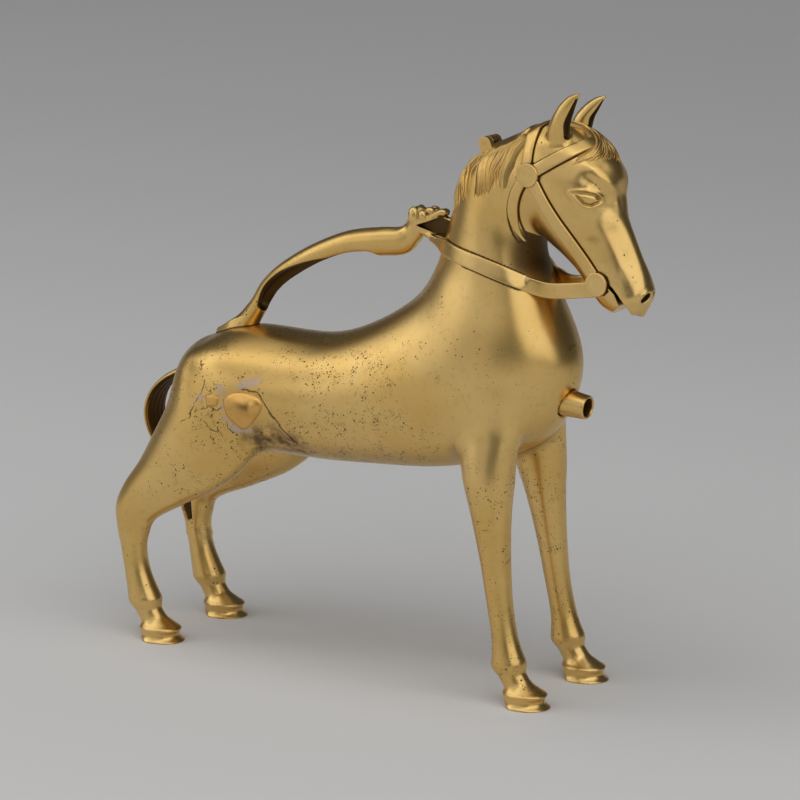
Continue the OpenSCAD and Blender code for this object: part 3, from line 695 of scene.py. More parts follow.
@dataclass(frozen=True)
class Brass:
    """Satin cast brass with specks of corrosion and painted shade in its recesses.

    Colours are linear. The worn zone is a ball in millimetres in which pits are dense.
    """

    name: str
    tone: Triple = (0.80, 0.54, 0.19)
    warm: Triple = (0.74, 0.47, 0.135)
    deep: Triple = (0.17, 0.095, 0.035)
    pit_tone: Triple = (0.03, 0.017, 0.007)
    rough: float = 0.3
    pits: float = 0.4
    zone: Triple = (-45.0, -32.0, 145.0)
    zone_reach: float = 120.0
    # strength of the painted shade in recesses
    recess: float = 1.0
    coat: float = 0.2
    mended: "Mending | None" = None

    def material(self) -> Material:
        """Builds the finish as nodes.

        Returns:
            The material.
        """
        t = Tree(self.name)
        where = t.add("TexCoord").outputs["Object"]
        broad = t.noise(where, 20.0, 3.0)
        fine = t.noise(where, 260.0, 4.0, 0.6)
        deep = (*self.deep, 1)
        colour = t.mix(t.band(broad, 0.36, 0.68), (*self.tone, 1), (*self.warm, 1))
        colour = t.mix(t.times(t.band(fine, 0.5, 0.8), 0.16), colour, deep)
        # specks in clusters, dense in the worn zone
        away = t.vector("DISTANCE", where, i1=[v * MM for v in self.zone])[1]
        worn = t.band(away, self.zone_reach * MM, self.zone_reach * 0.3 * MM)
        clump = t.rising(t.band(t.noise(where, 170.0, 5.0, 0.65), 0.46, 0.6), 0.8, 0.2)
        cluster = t.times(t.band(t.noise(where, 44.0, 5.0, 0.65), 0.42, 0.58), clump)
        gate = t.times(t.times(cluster, t.rising(worn, 0.8, 0.2)), self.pits, True)
        pit = t.math("MAXIMUM", self.dots(t, where, gate, 720.0), self.dots(t, where, gate, 1300.0))
        bruise = t.times(t.band(t.noise(where, 150.0, 4.0, 0.6), 0.5, 0.74), t.times(gate, 0.5))
        colour = t.mix(bruise, colour, deep)
        colour = t.mix(t.times(pit, 0.9), colour, (*self.pit_tone, 1))
        height = t.math("SUBTRACT", t.times(fine, 0.1), pit)
        if self.mended is not None:
            colour, height = self.mended.add(t, where, colour, height)
        # painted shade: the darkening stored on the points turns hollows, creases and strap edges almost black-brown
        hollow = t.add("Attribute", {"attribute_name": "recess"}).outputs["Fac"]
        shade = t.times(t.band(hollow, 0.1, 0.75), self.recess * 0.94, True)
        colour = t.mix(shade, colour, (self.deep[0] * 0.35, self.deep[1] * 0.32, self.deep[2] * 0.3, 1))
        rough = t.rising(broad, 0.14, self.rough - 0.07)
        rough = t.math("ADD", rough, t.times(t.math("ADD", pit, shade), 0.22), True)
        bump_map = t.add("Bump", None, Height=height, Strength=0.5, Distance=0.00025).outputs[0]
        bare = t.math("SUBTRACT", self.coat, t.times(t.math("ADD", pit, shade), self.coat), True)
        shader = t.add("BsdfPrincipled", None, Base_Color=colour, Roughness=rough, Normal=bump_map, Metallic=1.0,
                       Coat_Weight=bare, Coat_Roughness=0.3, Coat_IOR=1.8)
        t.add("OutputMaterial", None, Surface=shader.outputs[0])
        return t.material

    def dots(self, t: Tree, where: Socket, gate: Socket, scale: float) -> Socket:
        """Scatters small ragged specks.

        Args:
            t: The material's tree.
            where: Object coordinates.
            gate: Share of the cells that hold a speck.
            scale: Cells in a metre.

        Returns:
            1 on a speck, 0 off it.
        """
        shake = t.add("TexNoise", None, Vector=where, Scale=scale * 2.2, Detail=2.0).outputs[1]
        moved = t.vector("ADD", where, i1=t.vector("SCALE", shake, Scale=0.55 / scale)[0])[0]
        cell = t.add("TexVoronoi", None, Vector=moved, Scale=scale)
        chance, size, _ = t.add("SeparateColor", None, Color=cell.outputs["Color"]).outputs
        here = t.band(t.math("SUBTRACT", gate, chance), 0.0, 0.05)
        radius = t.rising(size, 0.3, 0.14)
        return t.times(t.band(t.math("SUBTRACT", radius, cell.outputs["Distance"]), 0.0, 0.08), here)


@dataclass(frozen=True)
class Mending:
    """Cracks, pinkish solder and a dark stain on the mended haunch, as lines in X and Z."""

    crack: tuple = ((-72.2, 153.6), (-62, 152.4), (-56.4, 146.6), (-50.6, 138), (-45.2, 130.1), (-40.5, 126.1))
    fine: tuple = (
        ((-98.3, 155.2), (-99.5, 148.2), (-104.8, 141.1), (-107, 134.5), (-111.2, 131.6), (-117.6, 125)),
        ((-104.8, 141.1), (-101, 138.6), (-97.2, 139.8), (-92.3, 141.5), (-87.5, 139.8), (-84.7, 141.3)),
        ((-95.9, 133.5), (-91.8, 128.2), (-86.2, 128.4), (-84.9, 125.6)),
        ((-82, 134.1), (-79.3, 128.7), (-74.5, 128.7)),
        ((-103.8, 165), (-102.1, 158.3), (-106.7, 155.4)),
    )
    solder: tuple = (
        ((-86.6, 152.6), (-83.8, 147.8), (-84.9, 142.4)),
        ((-79.1, 153.8), (-72.2, 156), (-62.6, 159.5)),
        ((-104.1, 141.8), (-99.9, 145.8)),
        ((-83, 136.4), (-77.6, 130.4), (-69, 130.4)),
    )
    stain: tuple = ((-66, 125.4), (-54.4, 126.7), (-44.9, 123.3))
    stain_tone: tuple = (0.07, 0.04, 0.025, 1)
    solder_tone: tuple = (0.56, 0.43, 0.36, 1)
    crack_tone: tuple = (0.06, 0.035, 0.02, 1)

    def off(self, t: Tree, where: Socket, line: Line) -> Socket:
        """Measures the distance to a line of straight pieces, seen from the side.

        Args:
            t: The material's tree.
            where: Places with Y left out.
            line: The line's corners in X and Z.

        Returns:
            The distance in metres.
        """
        best: object = 1.0
        for (ax, az), (bx, bz) in zip(line[:-1], line[1:]):
            run = Vector(((bx - ax) * MM, 0.0, (bz - az) * MM))
            start = t.vector("SUBTRACT", where, i1=(ax * MM, 0.0, az * MM))[0]
            share = t.vector("DOT_PRODUCT", start, i1=run / run.length_squared)[1]
            share = t.add("Clamp", None, Value=share).outputs[0]
            gap = t.vector("DISTANCE", start, i1=t.vector("SCALE", run, Scale=share)[0])[1]
            best = t.math("MINIMUM", gap, best)
        return best

    def add(self, t: Tree, where: Socket, colour: Socket, height: Socket) -> tuple[Socket, Socket]:
        """Lays the marks over a finish, on the right side only.

        Args:
            t: The material's tree.
            where: Object coordinates.
            colour: Colour so far.
            height: Bump height so far.

        Returns:
            The new colour and height.
        """
        near = t.band(t.add("SeparateXYZ", None, Vector=where).outputs[1], -0.012, -0.02)
        shake = t.add("TexNoise", None, Vector=where, Scale=190.0, Detail=3.0).outputs[1]
        shake = t.vector("MULTIPLY_ADD", shake, i1=(0.005, 0.0, 0.005), i2=(-0.0025, 0.0, -0.0025))[0]
        flat = t.vector("ADD", t.vector("MULTIPLY", where, i1=(1.0, 0.0, 1.0))[0], i1=shake)[0]
        broken = t.band(t.noise(where, 210.0, 3.0), 0.38, 0.56)
        stain = t.band(self.off(t, flat, self.stain), 0.014, 0.001)
        stain = t.times(stain, t.band(t.noise(where, 140.0, 5.0), 0.34, 0.6))
        colour = t.mix(t.times(t.times(stain, near), 0.85), colour, self.stain_tone)
        for line in self.solder:
            mark = t.band(self.off(t, flat, line), 0.0032, 0.0012)
            mark = t.times(mark, t.band(t.noise(where, 170.0, 3.0), 0.36, 0.54))
            colour = t.mix(t.times(t.times(mark, near), 0.8), colour, self.solder_tone)
        for line, wide, whole in [(self.crack, 0.00075, True)] + [(line, 0.0005, False) for line in self.fine]:
            mark = t.times(t.band(self.off(t, flat, line), wide, wide * 0.3), near)
            mark = mark if whole else t.times(mark, broken)
            colour = t.mix(t.times(mark, 0.85), colour, self.crack_tone)
            height = t.math("SUBTRACT", height, mark)
        return colour, height


@dataclass(frozen=True)
class Ground:
    """Plain matt paper under and behind the vessel, which looks a little paler away from it.

    The glow is painted light that a camera or a reflection sees on top of the paper's own colour: faint close to the
    vessel, and stronger far off.
    """

    name: str
    tint: Triple = (0.79, 0.786, 0.78)
    painted_glow: tuple[float, float] = (0.03, 0.075)

    def material(self) -> Material:
        """Builds the paper with a trace of grain and its painted glow.

        Returns:
            The material.
        """
        t = Tree(self.name)
        where = t.add("TexCoord").outputs["Object"]
        grain = t.noise(where, 300.0, 2.0)
        colour = t.mix(t.times(grain, 0.05), (*self.tint, 1), tuple(c * 0.9 for c in self.tint) + (1,))
        # painted light: an emission seen only by camera, glossy and transmission rays, none right under the vessel and
        # rising away from it
        off = t.vector("LENGTH", where)[1]
        close, far = t.times(t.band(off, 0.14, 0.5), self.painted_glow[0]), t.times(t.band(off, 0.7, 3.2), self.painted_glow[1])
        painted_glow = t.math("ADD", close, far)
        ray = t.add("LightPath").outputs
        seen = t.math("MAXIMUM", ray["Is Camera Ray"], ray["Is Glossy Ray"])
        seen = t.math("MAXIMUM", seen, ray["Is Transmission Ray"])
        shader = t.add("BsdfPrincipled", None, Base_Color=colour, Roughness=0.9, Emission_Color=(1, 1, 1, 1),
                       Emission_Strength=t.times(painted_glow, seen))
        t.add("OutputMaterial", None, Surface=shader.outputs[0])
        return t.material


# ---------------------------------------------------------------- pieces


def show(thing: bpy.types.Object) -> bpy.types.Object:
    """Links an object to the scene and returns it."""
    bpy.context.scene.collection.objects.link(thing)
    return thing


def make_piece(
    name: str, form: Form, material: Material, node: str, body: Body = Body.VESSEL
) -> None:
    """Turns a surface into a piece of the scene.

    Args:
        name: The piece's name.
        form: Its surface in millimetres.
        material: Its finish.
        node: The CAD node that it stands for.
        body: The body it rides on.
    """
    full = form.complete()
    a, b, c = (full.points[full.faces[:, k]] for k in range(3))
    face_normals = np.cross(b - a, c - a)
    solid = np.linalg.norm(face_normals, axis=1) > 1e-7
    faces, flat, face_normals = full.faces[solid], full.flat[solid], unit(face_normals[solid])
    mesh = bpy.data.meshes.new(name)
    mesh.vertices.add(len(full.points))
    mesh.vertices.foreach_set("co", (full.points * MM).astype(np.float32).ravel())
    mesh.loops.add(len(faces) * 3)
    mesh.loops.foreach_set("vertex_index", faces.astype(np.int32).ravel())
    mesh.polygons.add(len(faces))
    mesh.polygons.foreach_set("loop_start", np.arange(0, len(faces) * 3, 3, dtype=np.int32))
    mesh.polygons.foreach_set("use_smooth", np.ones(len(faces), bool))
    mesh.update(calc_edges=True)
    mark = mesh.attributes.new("recess", "FLOAT", "POINT")
    mark.data.foreach_set("value", full.recess.astype(np.float32))
    corner = full.normals[faces]
    corner[flat] = face_normals[flat][:, None, :]
    mesh.normals_split_custom_set(corner.reshape(-1, 3).astype(np.float32))
    mesh.validate(clean_customdata=False)
    mesh.materials.append(material)
    piece = show(bpy.data.objects.new(name, mesh))
    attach(piece, body.value)
    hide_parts(node)
    LOG.info("%s: %d triangles", name, len(faces))


def lathe(profile: Sequence[tuple[float, float]], origin: Array, axis: Array, sides: int = 72) -> Form:
    """Turns a closed profile about an axis.

    Args:
        profile: Points (distance along the axis, radius); the first and last lie on the axis or close a ring.
        origin: Start of the axis.
        axis: Direction of the axis.
        sides: Points round the axis.

    Returns:
        The closed surface.
    """
    axis = unit(np.asarray(axis, float))
    side = unit(np.cross(axis, [0.0, 0.3, 1.0]))
    other = np.cross(axis, side)
    a = np.linspace(0, 2 * math.pi, sides, endpoint=False)
    circle = np.outer(np.cos(a), side) + np.outer(np.sin(a), other)
    ring = profile[0][1] > 0
    inner = profile if ring else profile[1:-1]
    rings = np.array([np.asarray(origin) + axis * x + circle * r for x, r in inner])
    if not ring:
        return closed_rings(rings, origin + axis * profile[0][0], origin + axis * profile[-1][0])
    grid = np.arange(len(rings) * sides).reshape(-1, sides)
    return Form(rings.reshape(-1, 3), strip(grid, np.roll(grid, -1, 0))).outward()


# ---------------------------------------------------------------- the hide


@dataclass
class Hide:
    """The horse's continuous skin: rows of the body, head and legs, and the fields made from them."""

    wall: float = 3.0
    rump_dome: float = 25.0
    head_length: float = 107.0
    head_depth: float = 60.0
    head_width: float = 43.0
    half_track: float = 31.3
    body_rows: tuple = (
        (-222, 174, -214, 115, 0, 32.25, 0.04),
        (-205, 180.5, -195, 112, 0, 37.5, 0),
        (-180, 182, -172, 112, 0, 37.875, -0.02),
        (-149.42, 182.5, -142.19, 112, 0, 36.75, -0.03),
        (-125.32, 188.45, -108.45, 114, 0, 36.75, -0.05),
        (-104, 198.77, -70, 117.5, 0, 37.5, -0.08),
        (-86.5, 211.03, -33, 127, 0, 37.5, -0.1),
        (-77.5, 221.99, -6, 141, 0, 36.375, -0.1),
        (-72, 232.96, 8, 163, 0, 33.375, -0.1),
        (-69, 243.02, 11, 184, 0, 29.25, -0.1),
        (-65.5, 255.01, 4, 204, 0, 25.42, -0.08),
        (-61.5, 267.14, -5, 224, 0, 22.55, -0.05),
        (-56, 280.04, -10, 239, 0, 20.5, 0),
        (-45.5, 291.26, -9, 251, 0, 19.475, 0),
        (-31, 298.75, -4, 256, 0, 18.86, 0),
        (-16, 304.94, 4, 262, 0, 18.45, 0),
        (-1, 309, 12, 268, 0, 17.22, 0),
    )
    head_rows: tuple = (
        (-0.02, -0.12, -0.52, 0.62, 0),
        (0.06, 0.04, -0.68, 0.84, 0),
        (0.17, 0.15, -0.755, 0.95, 0.02),
        (0.28, 0.215, -0.775, 1, 0.02),
        (0.37, 0.2, -0.765, 0.97, 0),
        (0.45, 0.105, -0.73, 0.88, -0.05),
        (0.54, 0.05, -0.665, 0.76, -0.12),
        (0.65, 0.02, -0.61, 0.63, -0.16),
        (0.76, -0.01, -0.595, 0.57, -0.12),
        (0.86, -0.035, -0.57, 0.57, 0),
        (0.925, -0.075, -0.5, 0.54, 0.06),
        (0.97, -0.17, -0.42, 0.4, 0.05),
    )
    front_rows: tuple = (
        (-9, 160.52, -47, 158.41, 22.3, 11),
        (-9, 142.04, -47, 139.93, 24.8, 13.2),
        (-11, 124.09, -42, 121.98, 27, 12.56),
        (-12.5, 104.02, -35.5, 101.91, 28.5, 10.37),
        (-12, 80.26, -29.5, 79.21, 29.5, 8.4),
        (-10, 55.98, -24.5, 54.92, 30.3, 7.01),
        (-6, 36.44, -20.8, 35.38, 31, 6.94),
    )

    def __post_init__(self) -> None:
        """Makes the lofts of body, head and legs, from which the fields of neck and head, on which straps and hair are
        laid, are sampled.
        """
        tilt = math.radians(57)
        self.origin = np.array([6.0 + HOOF_X, 0.0, 313.0])
        self.axis = np.array([math.cos(tilt), 0.0, -math.sin(tilt)])
        self.up = np.array([math.sin(tilt), 0.0, math.cos(tilt)])
        self.body = Loft(self.body_rows, even=True)
        rows = []
        for s, top, bottom, width, full in self.head_rows:
            mid = self.origin + self.axis * s * self.head_length
            a, b = mid + self.up * top * self.head_depth, mid + self.up * bottom * self.head_depth
            rows.append((a[0], a[2], b[0], b[2], 0.0, width * self.head_width / 2, full))
        self.head = Loft(rows, shift=0.0)
        self.front = {side: Loft(self.front_rows + self.hoof(0), side.value) for side in Side}
        self.hind = {side: Loft(self.thigh(side) + self.hoof(-WHEELBASE), side.value) for side in Side}

    def hoof(self, x: float) -> tuple:
        """Gives the rows from fetlock to sole for a hoof at x."""
        t = self.half_track
        return (
            (x - 0.5, 22.4, x - 20, 18.9, t, 8.76),
            (x + 0.3, 17.4, x - 16, 13.9, t, 7.3),
            (x + 2.6, 13.4, x - 13.2, 10.4, t, 6.79),
            (x + 8.41, 9.8, x - 12.76, 8.4, t, 8.73),
            (x + 11.89, 7.4, x - 13.05, 6.8, t, 10.38),
            (x + 11.31, 4.07, x - 13.05, 3.7, t, 10.38),
            (x + 14.5, 0, x - 14.5, 0, t, 11.8),
        )

    def thigh(self, side: Side) -> tuple:
        """Gives the rows of a hind leg above its fetlock; the left thigh stands a little further forward."""
        f = 10.0 if side is Side.LEFT else 0.0
        return (
            (-175 + 0.3 * f, 151.02, -227, 159.46, 19.3, 12.5),
            (-174 + 0.8 * f, 128.84, -235, 142.04, 24.3, 14.8),
            (-183 + f, 109.3, -244, 123.56, 27, 14),
            (-202 + f, 92.94, -255, 102.97, 29, 12),
            (-225.5 + 0.7 * f, 80.26, -265, 88.71, 30.3, 10.07),
            (-244.5, 69.18, -270.5, 76.04, 31, 8.54),
            (-250, 59.14, -269.5, 62.84, 31.3, 7.59),
            (-251.5, 50.17, -267, 51.22, 31.3, 7.01),
            (-249, 38.02, -264.5, 36.97, 31.3, 7.01),
        )

    def head_axes(self, grid: Grid) -> tuple[Array, Array]:
        """Gives each sample's place along the head and above its axis."""
        dx, dz = grid.x - self.origin[0], grid.z - self.origin[2]
        return dx * self.axis[0] + dz * self.axis[2], dx * self.up[0] + dz * self.up[2]

    def place(self, a: float, y: float, h: float) -> Array:
        """Turns a point given along the head, across it and above its axis into the part's frame."""
        return self.origin + self.axis * a + self.up * h + np.array([0.0, y, 0.0])

    def upper(self, grid: Grid, stations: tuple[float, float] = (7.0, 16.0), band: float = 8.0) -> Array:
        """Gives the field of body and head together."""
        head = grid.level(self.head.form(0, 11, domes=(4, 2.5)), band)
        return smooth_min(grid.level(self.body.form(*stations), band), head, 3.5)


HEAD_JOINT = np.array(
    [(-9, 335), (-8.5, 312), (-7, 286), (-13.5, 277), (-17, 268), (-18, 262), (-15.5, 256), (-10.5, 252.5), (-7, 248),
     (-3, 240), (3, 226), (12, 205)], float
)[::-1]


def curtain(points: Array) -> Array:
    """Gives how far points lie beyond the joint between neck and head, positive on the head."""
    return points[:, 0] - HOOF_X - np.interp(points[:, 2], HEAD_JOINT[:, 1], HEAD_JOINT[:, 0])


@dataclass
class Shell:
    """Trunk, neck and head: hollow castings that meet on hidden joints."""

    hide: Hide
    neck_point: Triple = (40.0, 0.0, 249.0)
    neck_normal: Triple = (0.593, 0.0, 0.806)
    crest_start: tuple[float, float] = (65.7987, 293.823)
    crest_slope: float = 22.9075
    mouth_inset: float = 3.0
    leg_blend: float = 9.0
    leg_band: float = 10.0

    def crest(self, x: Array, z: Array) -> tuple[Array, Array]:
        """Gives places along the crest and above it."""
        s = math.radians(self.crest_slope)
        dx, dz = x - self.crest_start[0], z - self.crest_start[1]
        return dx * math.cos(s) + dz * math.sin(s), dz * math.cos(s) - dx * math.sin(s)

    def oblong(self, u: Array, y: Array, inset: float) -> Array:
        """Gives the distance to the lid's rounded outline, seen from above the crest.

        Args:
            u: Place along the crest.
            y: Place across it.
            inset: How far the outline is drawn in.

        Returns:
            The distances, negative inside.
        """
        r = max(6.0 - inset, 0.5)
        qx = np.abs(u - 17.8) - (13.5 - inset - r)
        qy = np.abs(y) - (11.5 - inset - r)
        return np.hypot(np.maximum(qx, 0), np.maximum(qy, 0)) + np.minimum(np.maximum(qx, qy), 0) - r

    def legs(self) -> list[tuple[str, Loft]]:
        """Lists the legs with their rows."""
        ends = (("front", self.hide.front), ("hind", self.hide.hind))
        return [(f"{end}_leg_{side.name.lower()}", lofts[side]) for end, lofts in ends for side in Side]

    def limb(self, grid: Grid, name: str, loft: Loft, band: float) -> Array:
        """Samples a leg as far as band, drawn in a little where a front leg runs into the shoulder."""
        leg = grid.level(loft.form(0, len(loft.rows) - 1, domes=(14, 0)), band)
        return (leg + 1.8 * ease(grid.z, 114.0, 146.0)).astype(np.float32) if name.startswith("front") else leg

    def trunk(self, material: Material) -> None:
        """Builds the hollow trunk."""
        h = self.hide
        grid = Grid((-145, -46, 104), (127, 46, 256), 1.4, 1.7)
        body = grid.level(h.body.form(0, 12, domes=(h.rump_dome, 0), sides=256), self.leg_band)
        inner = grid.level(h.body.form(0, 12, -h.wall, (h.rump_dome - h.wall, 0)), 6.0)
        whole = body
        nearest = np.full(body.shape, self.leg_band, np.float32)
        for name, loft in self.legs():
            leg = self.limb(grid, name, loft, self.leg_band)
            whole = smooth_min(whole, leg, self.leg_blend)
            nearest = np.minimum(nearest, leg)
        whole = grid.soften(whole, 3)
        self.trunk_grid, self.trunk_field = grid, whole
        tilt = math.radians(Spout.fall)
        dx, dz = grid.x - Spout.root[0], grid.z - Spout.root[2]
        run, off = dx * math.cos(tilt) - dz * math.sin(tilt), dx * math.sin(tilt) + dz * math.cos(tilt)
        bore = np.maximum(np.hypot(off, grid.y) - Spout.root_radius, np.abs(run) - 14.0)
        form = grid.refaced(grid.skin(np.maximum(np.maximum(whole, -inner), -bore)), whole)
        outside = grid.sample(body, form.points) > -1.2
        form = form.cut(np.where(outside, grid.sample(nearest - body, form.points), 5.0))
        patches = [self.seat(form.points[ring[::-1]], grid, body).flipped() for ring in form.borders()]
        form = form.cut(-self.above_joint(form.points))
        rims = [ring for ring in form.borders() if np.ptp(self.above_joint(form.points[ring])) < 0.5]
        form = form.filled(rims, self.neck_normal)
        for patch in patches:
            form = form.joined(patch)
        make_piece("trunk", form, material, "trunk_shell")

    def above_joint(self, points: Array) -> Array:
        """Gives how far points lie on the neck's side of the joint between trunk and neck."""
        return (points - np.array(self.neck_point)) @ np.array(self.neck_normal)

    def seat(self, ring: Array, grid: Grid, body: Array) -> Form:
        """Closes the top of a leg with a skin that lies on the trunk.

        Args:
            ring: The leg's open edge, in the direction of the leg's own faces.
            grid: Samples of the trunk's field.
            body: The trunk's field.

        Returns:
            The closing skin, facing out of the leg.
        """
        centre = ring.mean(0)
        start = grid.sample(body, ring)
        rings = [ring]
        for f in np.linspace(1, 0, 9)[1:-1]:
            rings.append(grid.settle(body, centre + (ring - centre) * f, start * f * f, 3))
        centre = grid.settle(body, centre[None], 0.0, 3)
        index = np.arange(len(rings) * len(ring)).reshape(len(rings), -1)[:, ::-1]
        fan = np.stack([index[-1], np.roll(index[-1], -1), np.full(len(ring), index.size)], 1)
        faces = np.vstack([strip(index[:-1], index[1:]), fan])
        # the seat gets a fixed share of painted shade
        return Form(np.vstack(rings + [centre]), faces, None, np.full(index.size + 1, 0.4), np.ones(len(faces), bool))

    def neck(self, material: Material) -> None:
        """Builds the hollow neck with the filling mouth in its crest."""
        h = self.hide
        grid = Grid((28, -34, 183), (128, 34, 314), 0.8, 1.6)
        field_ = grid.soften(h.upper(grid), 2)
        self.neck_grid, self.neck_field = grid, field_
        inner = grid.level(h.body.form(7, 15.7, -h.wall), 6.0)
        u, v = self.crest(grid.x, grid.z)
        mouth = np.maximum(self.oblong(u, grid.y, self.mouth_inset), np.maximum(-14 - v, v - 12))
        form = grid.refaced(grid.skin(smooth_max(np.maximum(field_, -inner), -mouth, 0.8)), field_)
        # painted shade on the throat, under the jaw, on faces that turn forward
        form.darken(0.7 * ease(form.normals[:, 0], 0.25, 0.8) * ease(form.points[:, 2], 216.0, 238.0))
        form = form.cut(self.above_joint(form.points))
        form = form.filled(form.borders(), [-v for v in self.neck_normal])
        form = form.cut(-curtain(form.points))
        form = form.filled(form.borders(), (1, 0, 0))
        make_piece("neck", form, material, "neck_shell")

    def head(self, material: Material) -> None:
        """Builds the head: outer skin with its modelling, and the hollow inside."""
        h = self.hide
        grid = Grid((84, -25, 206), (168, 25, 317), 0.46)
        field_ = grid.soften(h.upper(grid, (8.0, 16.0), 5.0), 3)
        carving = HeadCarving(h)
        field_ = carving.carve(grid, field_)
        self.head_grid, self.head_field = grid, field_
        form = grid.skin(field_, 2.4)
        # painted shade inside the nostrils
        form.darken(carving.shade(form.points))
        form = form.cut(curtain(form.points))
        coarse = Grid((84, -25, 206), (168, 25, 317), 1.4)
        hollow = smooth_min(
            coarse.level(h.head.form(0.6, 7, -h.wall), 6.0), coarse.level(h.body.form(8, 15.7, -h.wall), 6.0), 2.0
        )
        inside = coarse.skin(hollow).flipped()
        # the inner wall is painted fully shaded
        inside.recess = np.ones(len(inside.points))
        form = form.joined(inside.cut(curtain(inside.points)))
        form = form.filled(form.borders(), (-1, 0, 0))
        make_piece("head", form, material, "head_shell")

    def value(self, points: Array) -> Array:
        """Gives the distance of points from the dressed neck and head."""
        near = self.neck_grid.sample(self.neck_field, points)
        far = self.head_grid.sample(self.head_field, points)
        return np.where(curtain(points) > 0, far, near)

    def facing(self, points: Array) -> Array:
        """Gives the direction out of the skin."""
        e = np.eye(3) * 0.7
        return unit(np.stack([self.value(points + s) - self.value(points - s) for s in e], 1))

    def onto(self, points: Array, lift: Array | float = 0.0, rounds: int = 5) -> Array:
        """Moves points onto the skin of neck and head.

        Args:
            points: Start points near the skin.
            lift: Height above the skin.
            rounds: Number of steps.

        Returns:
            The moved points.
        """
        p = points.copy()
        for _ in range(rounds):
            p = p - (np.clip(self.value(p) - lift, -3, 3))[:, None] * self.facing(p) * 0.9
        return p

    def shoot(self, start: Array, ray: Array, reach: float = 45.0) -> Array:
        """Finds where rays from inside leave the skin.

        Args:
            start: Points inside.
            ray: Directions.
            reach: Largest distance searched.

        Returns:
            The points on the skin.
        """
        low, high = np.zeros(len(start)), np.full(len(start), reach)
        for _ in range(24):
            mid = (low + high) / 2
            inside = self.value(start + ray * mid[:, None]) < 0
            low, high = np.where(inside, mid, low), np.where(inside, high, mid)
        return start + ray * ((low + high) / 2)[:, None]


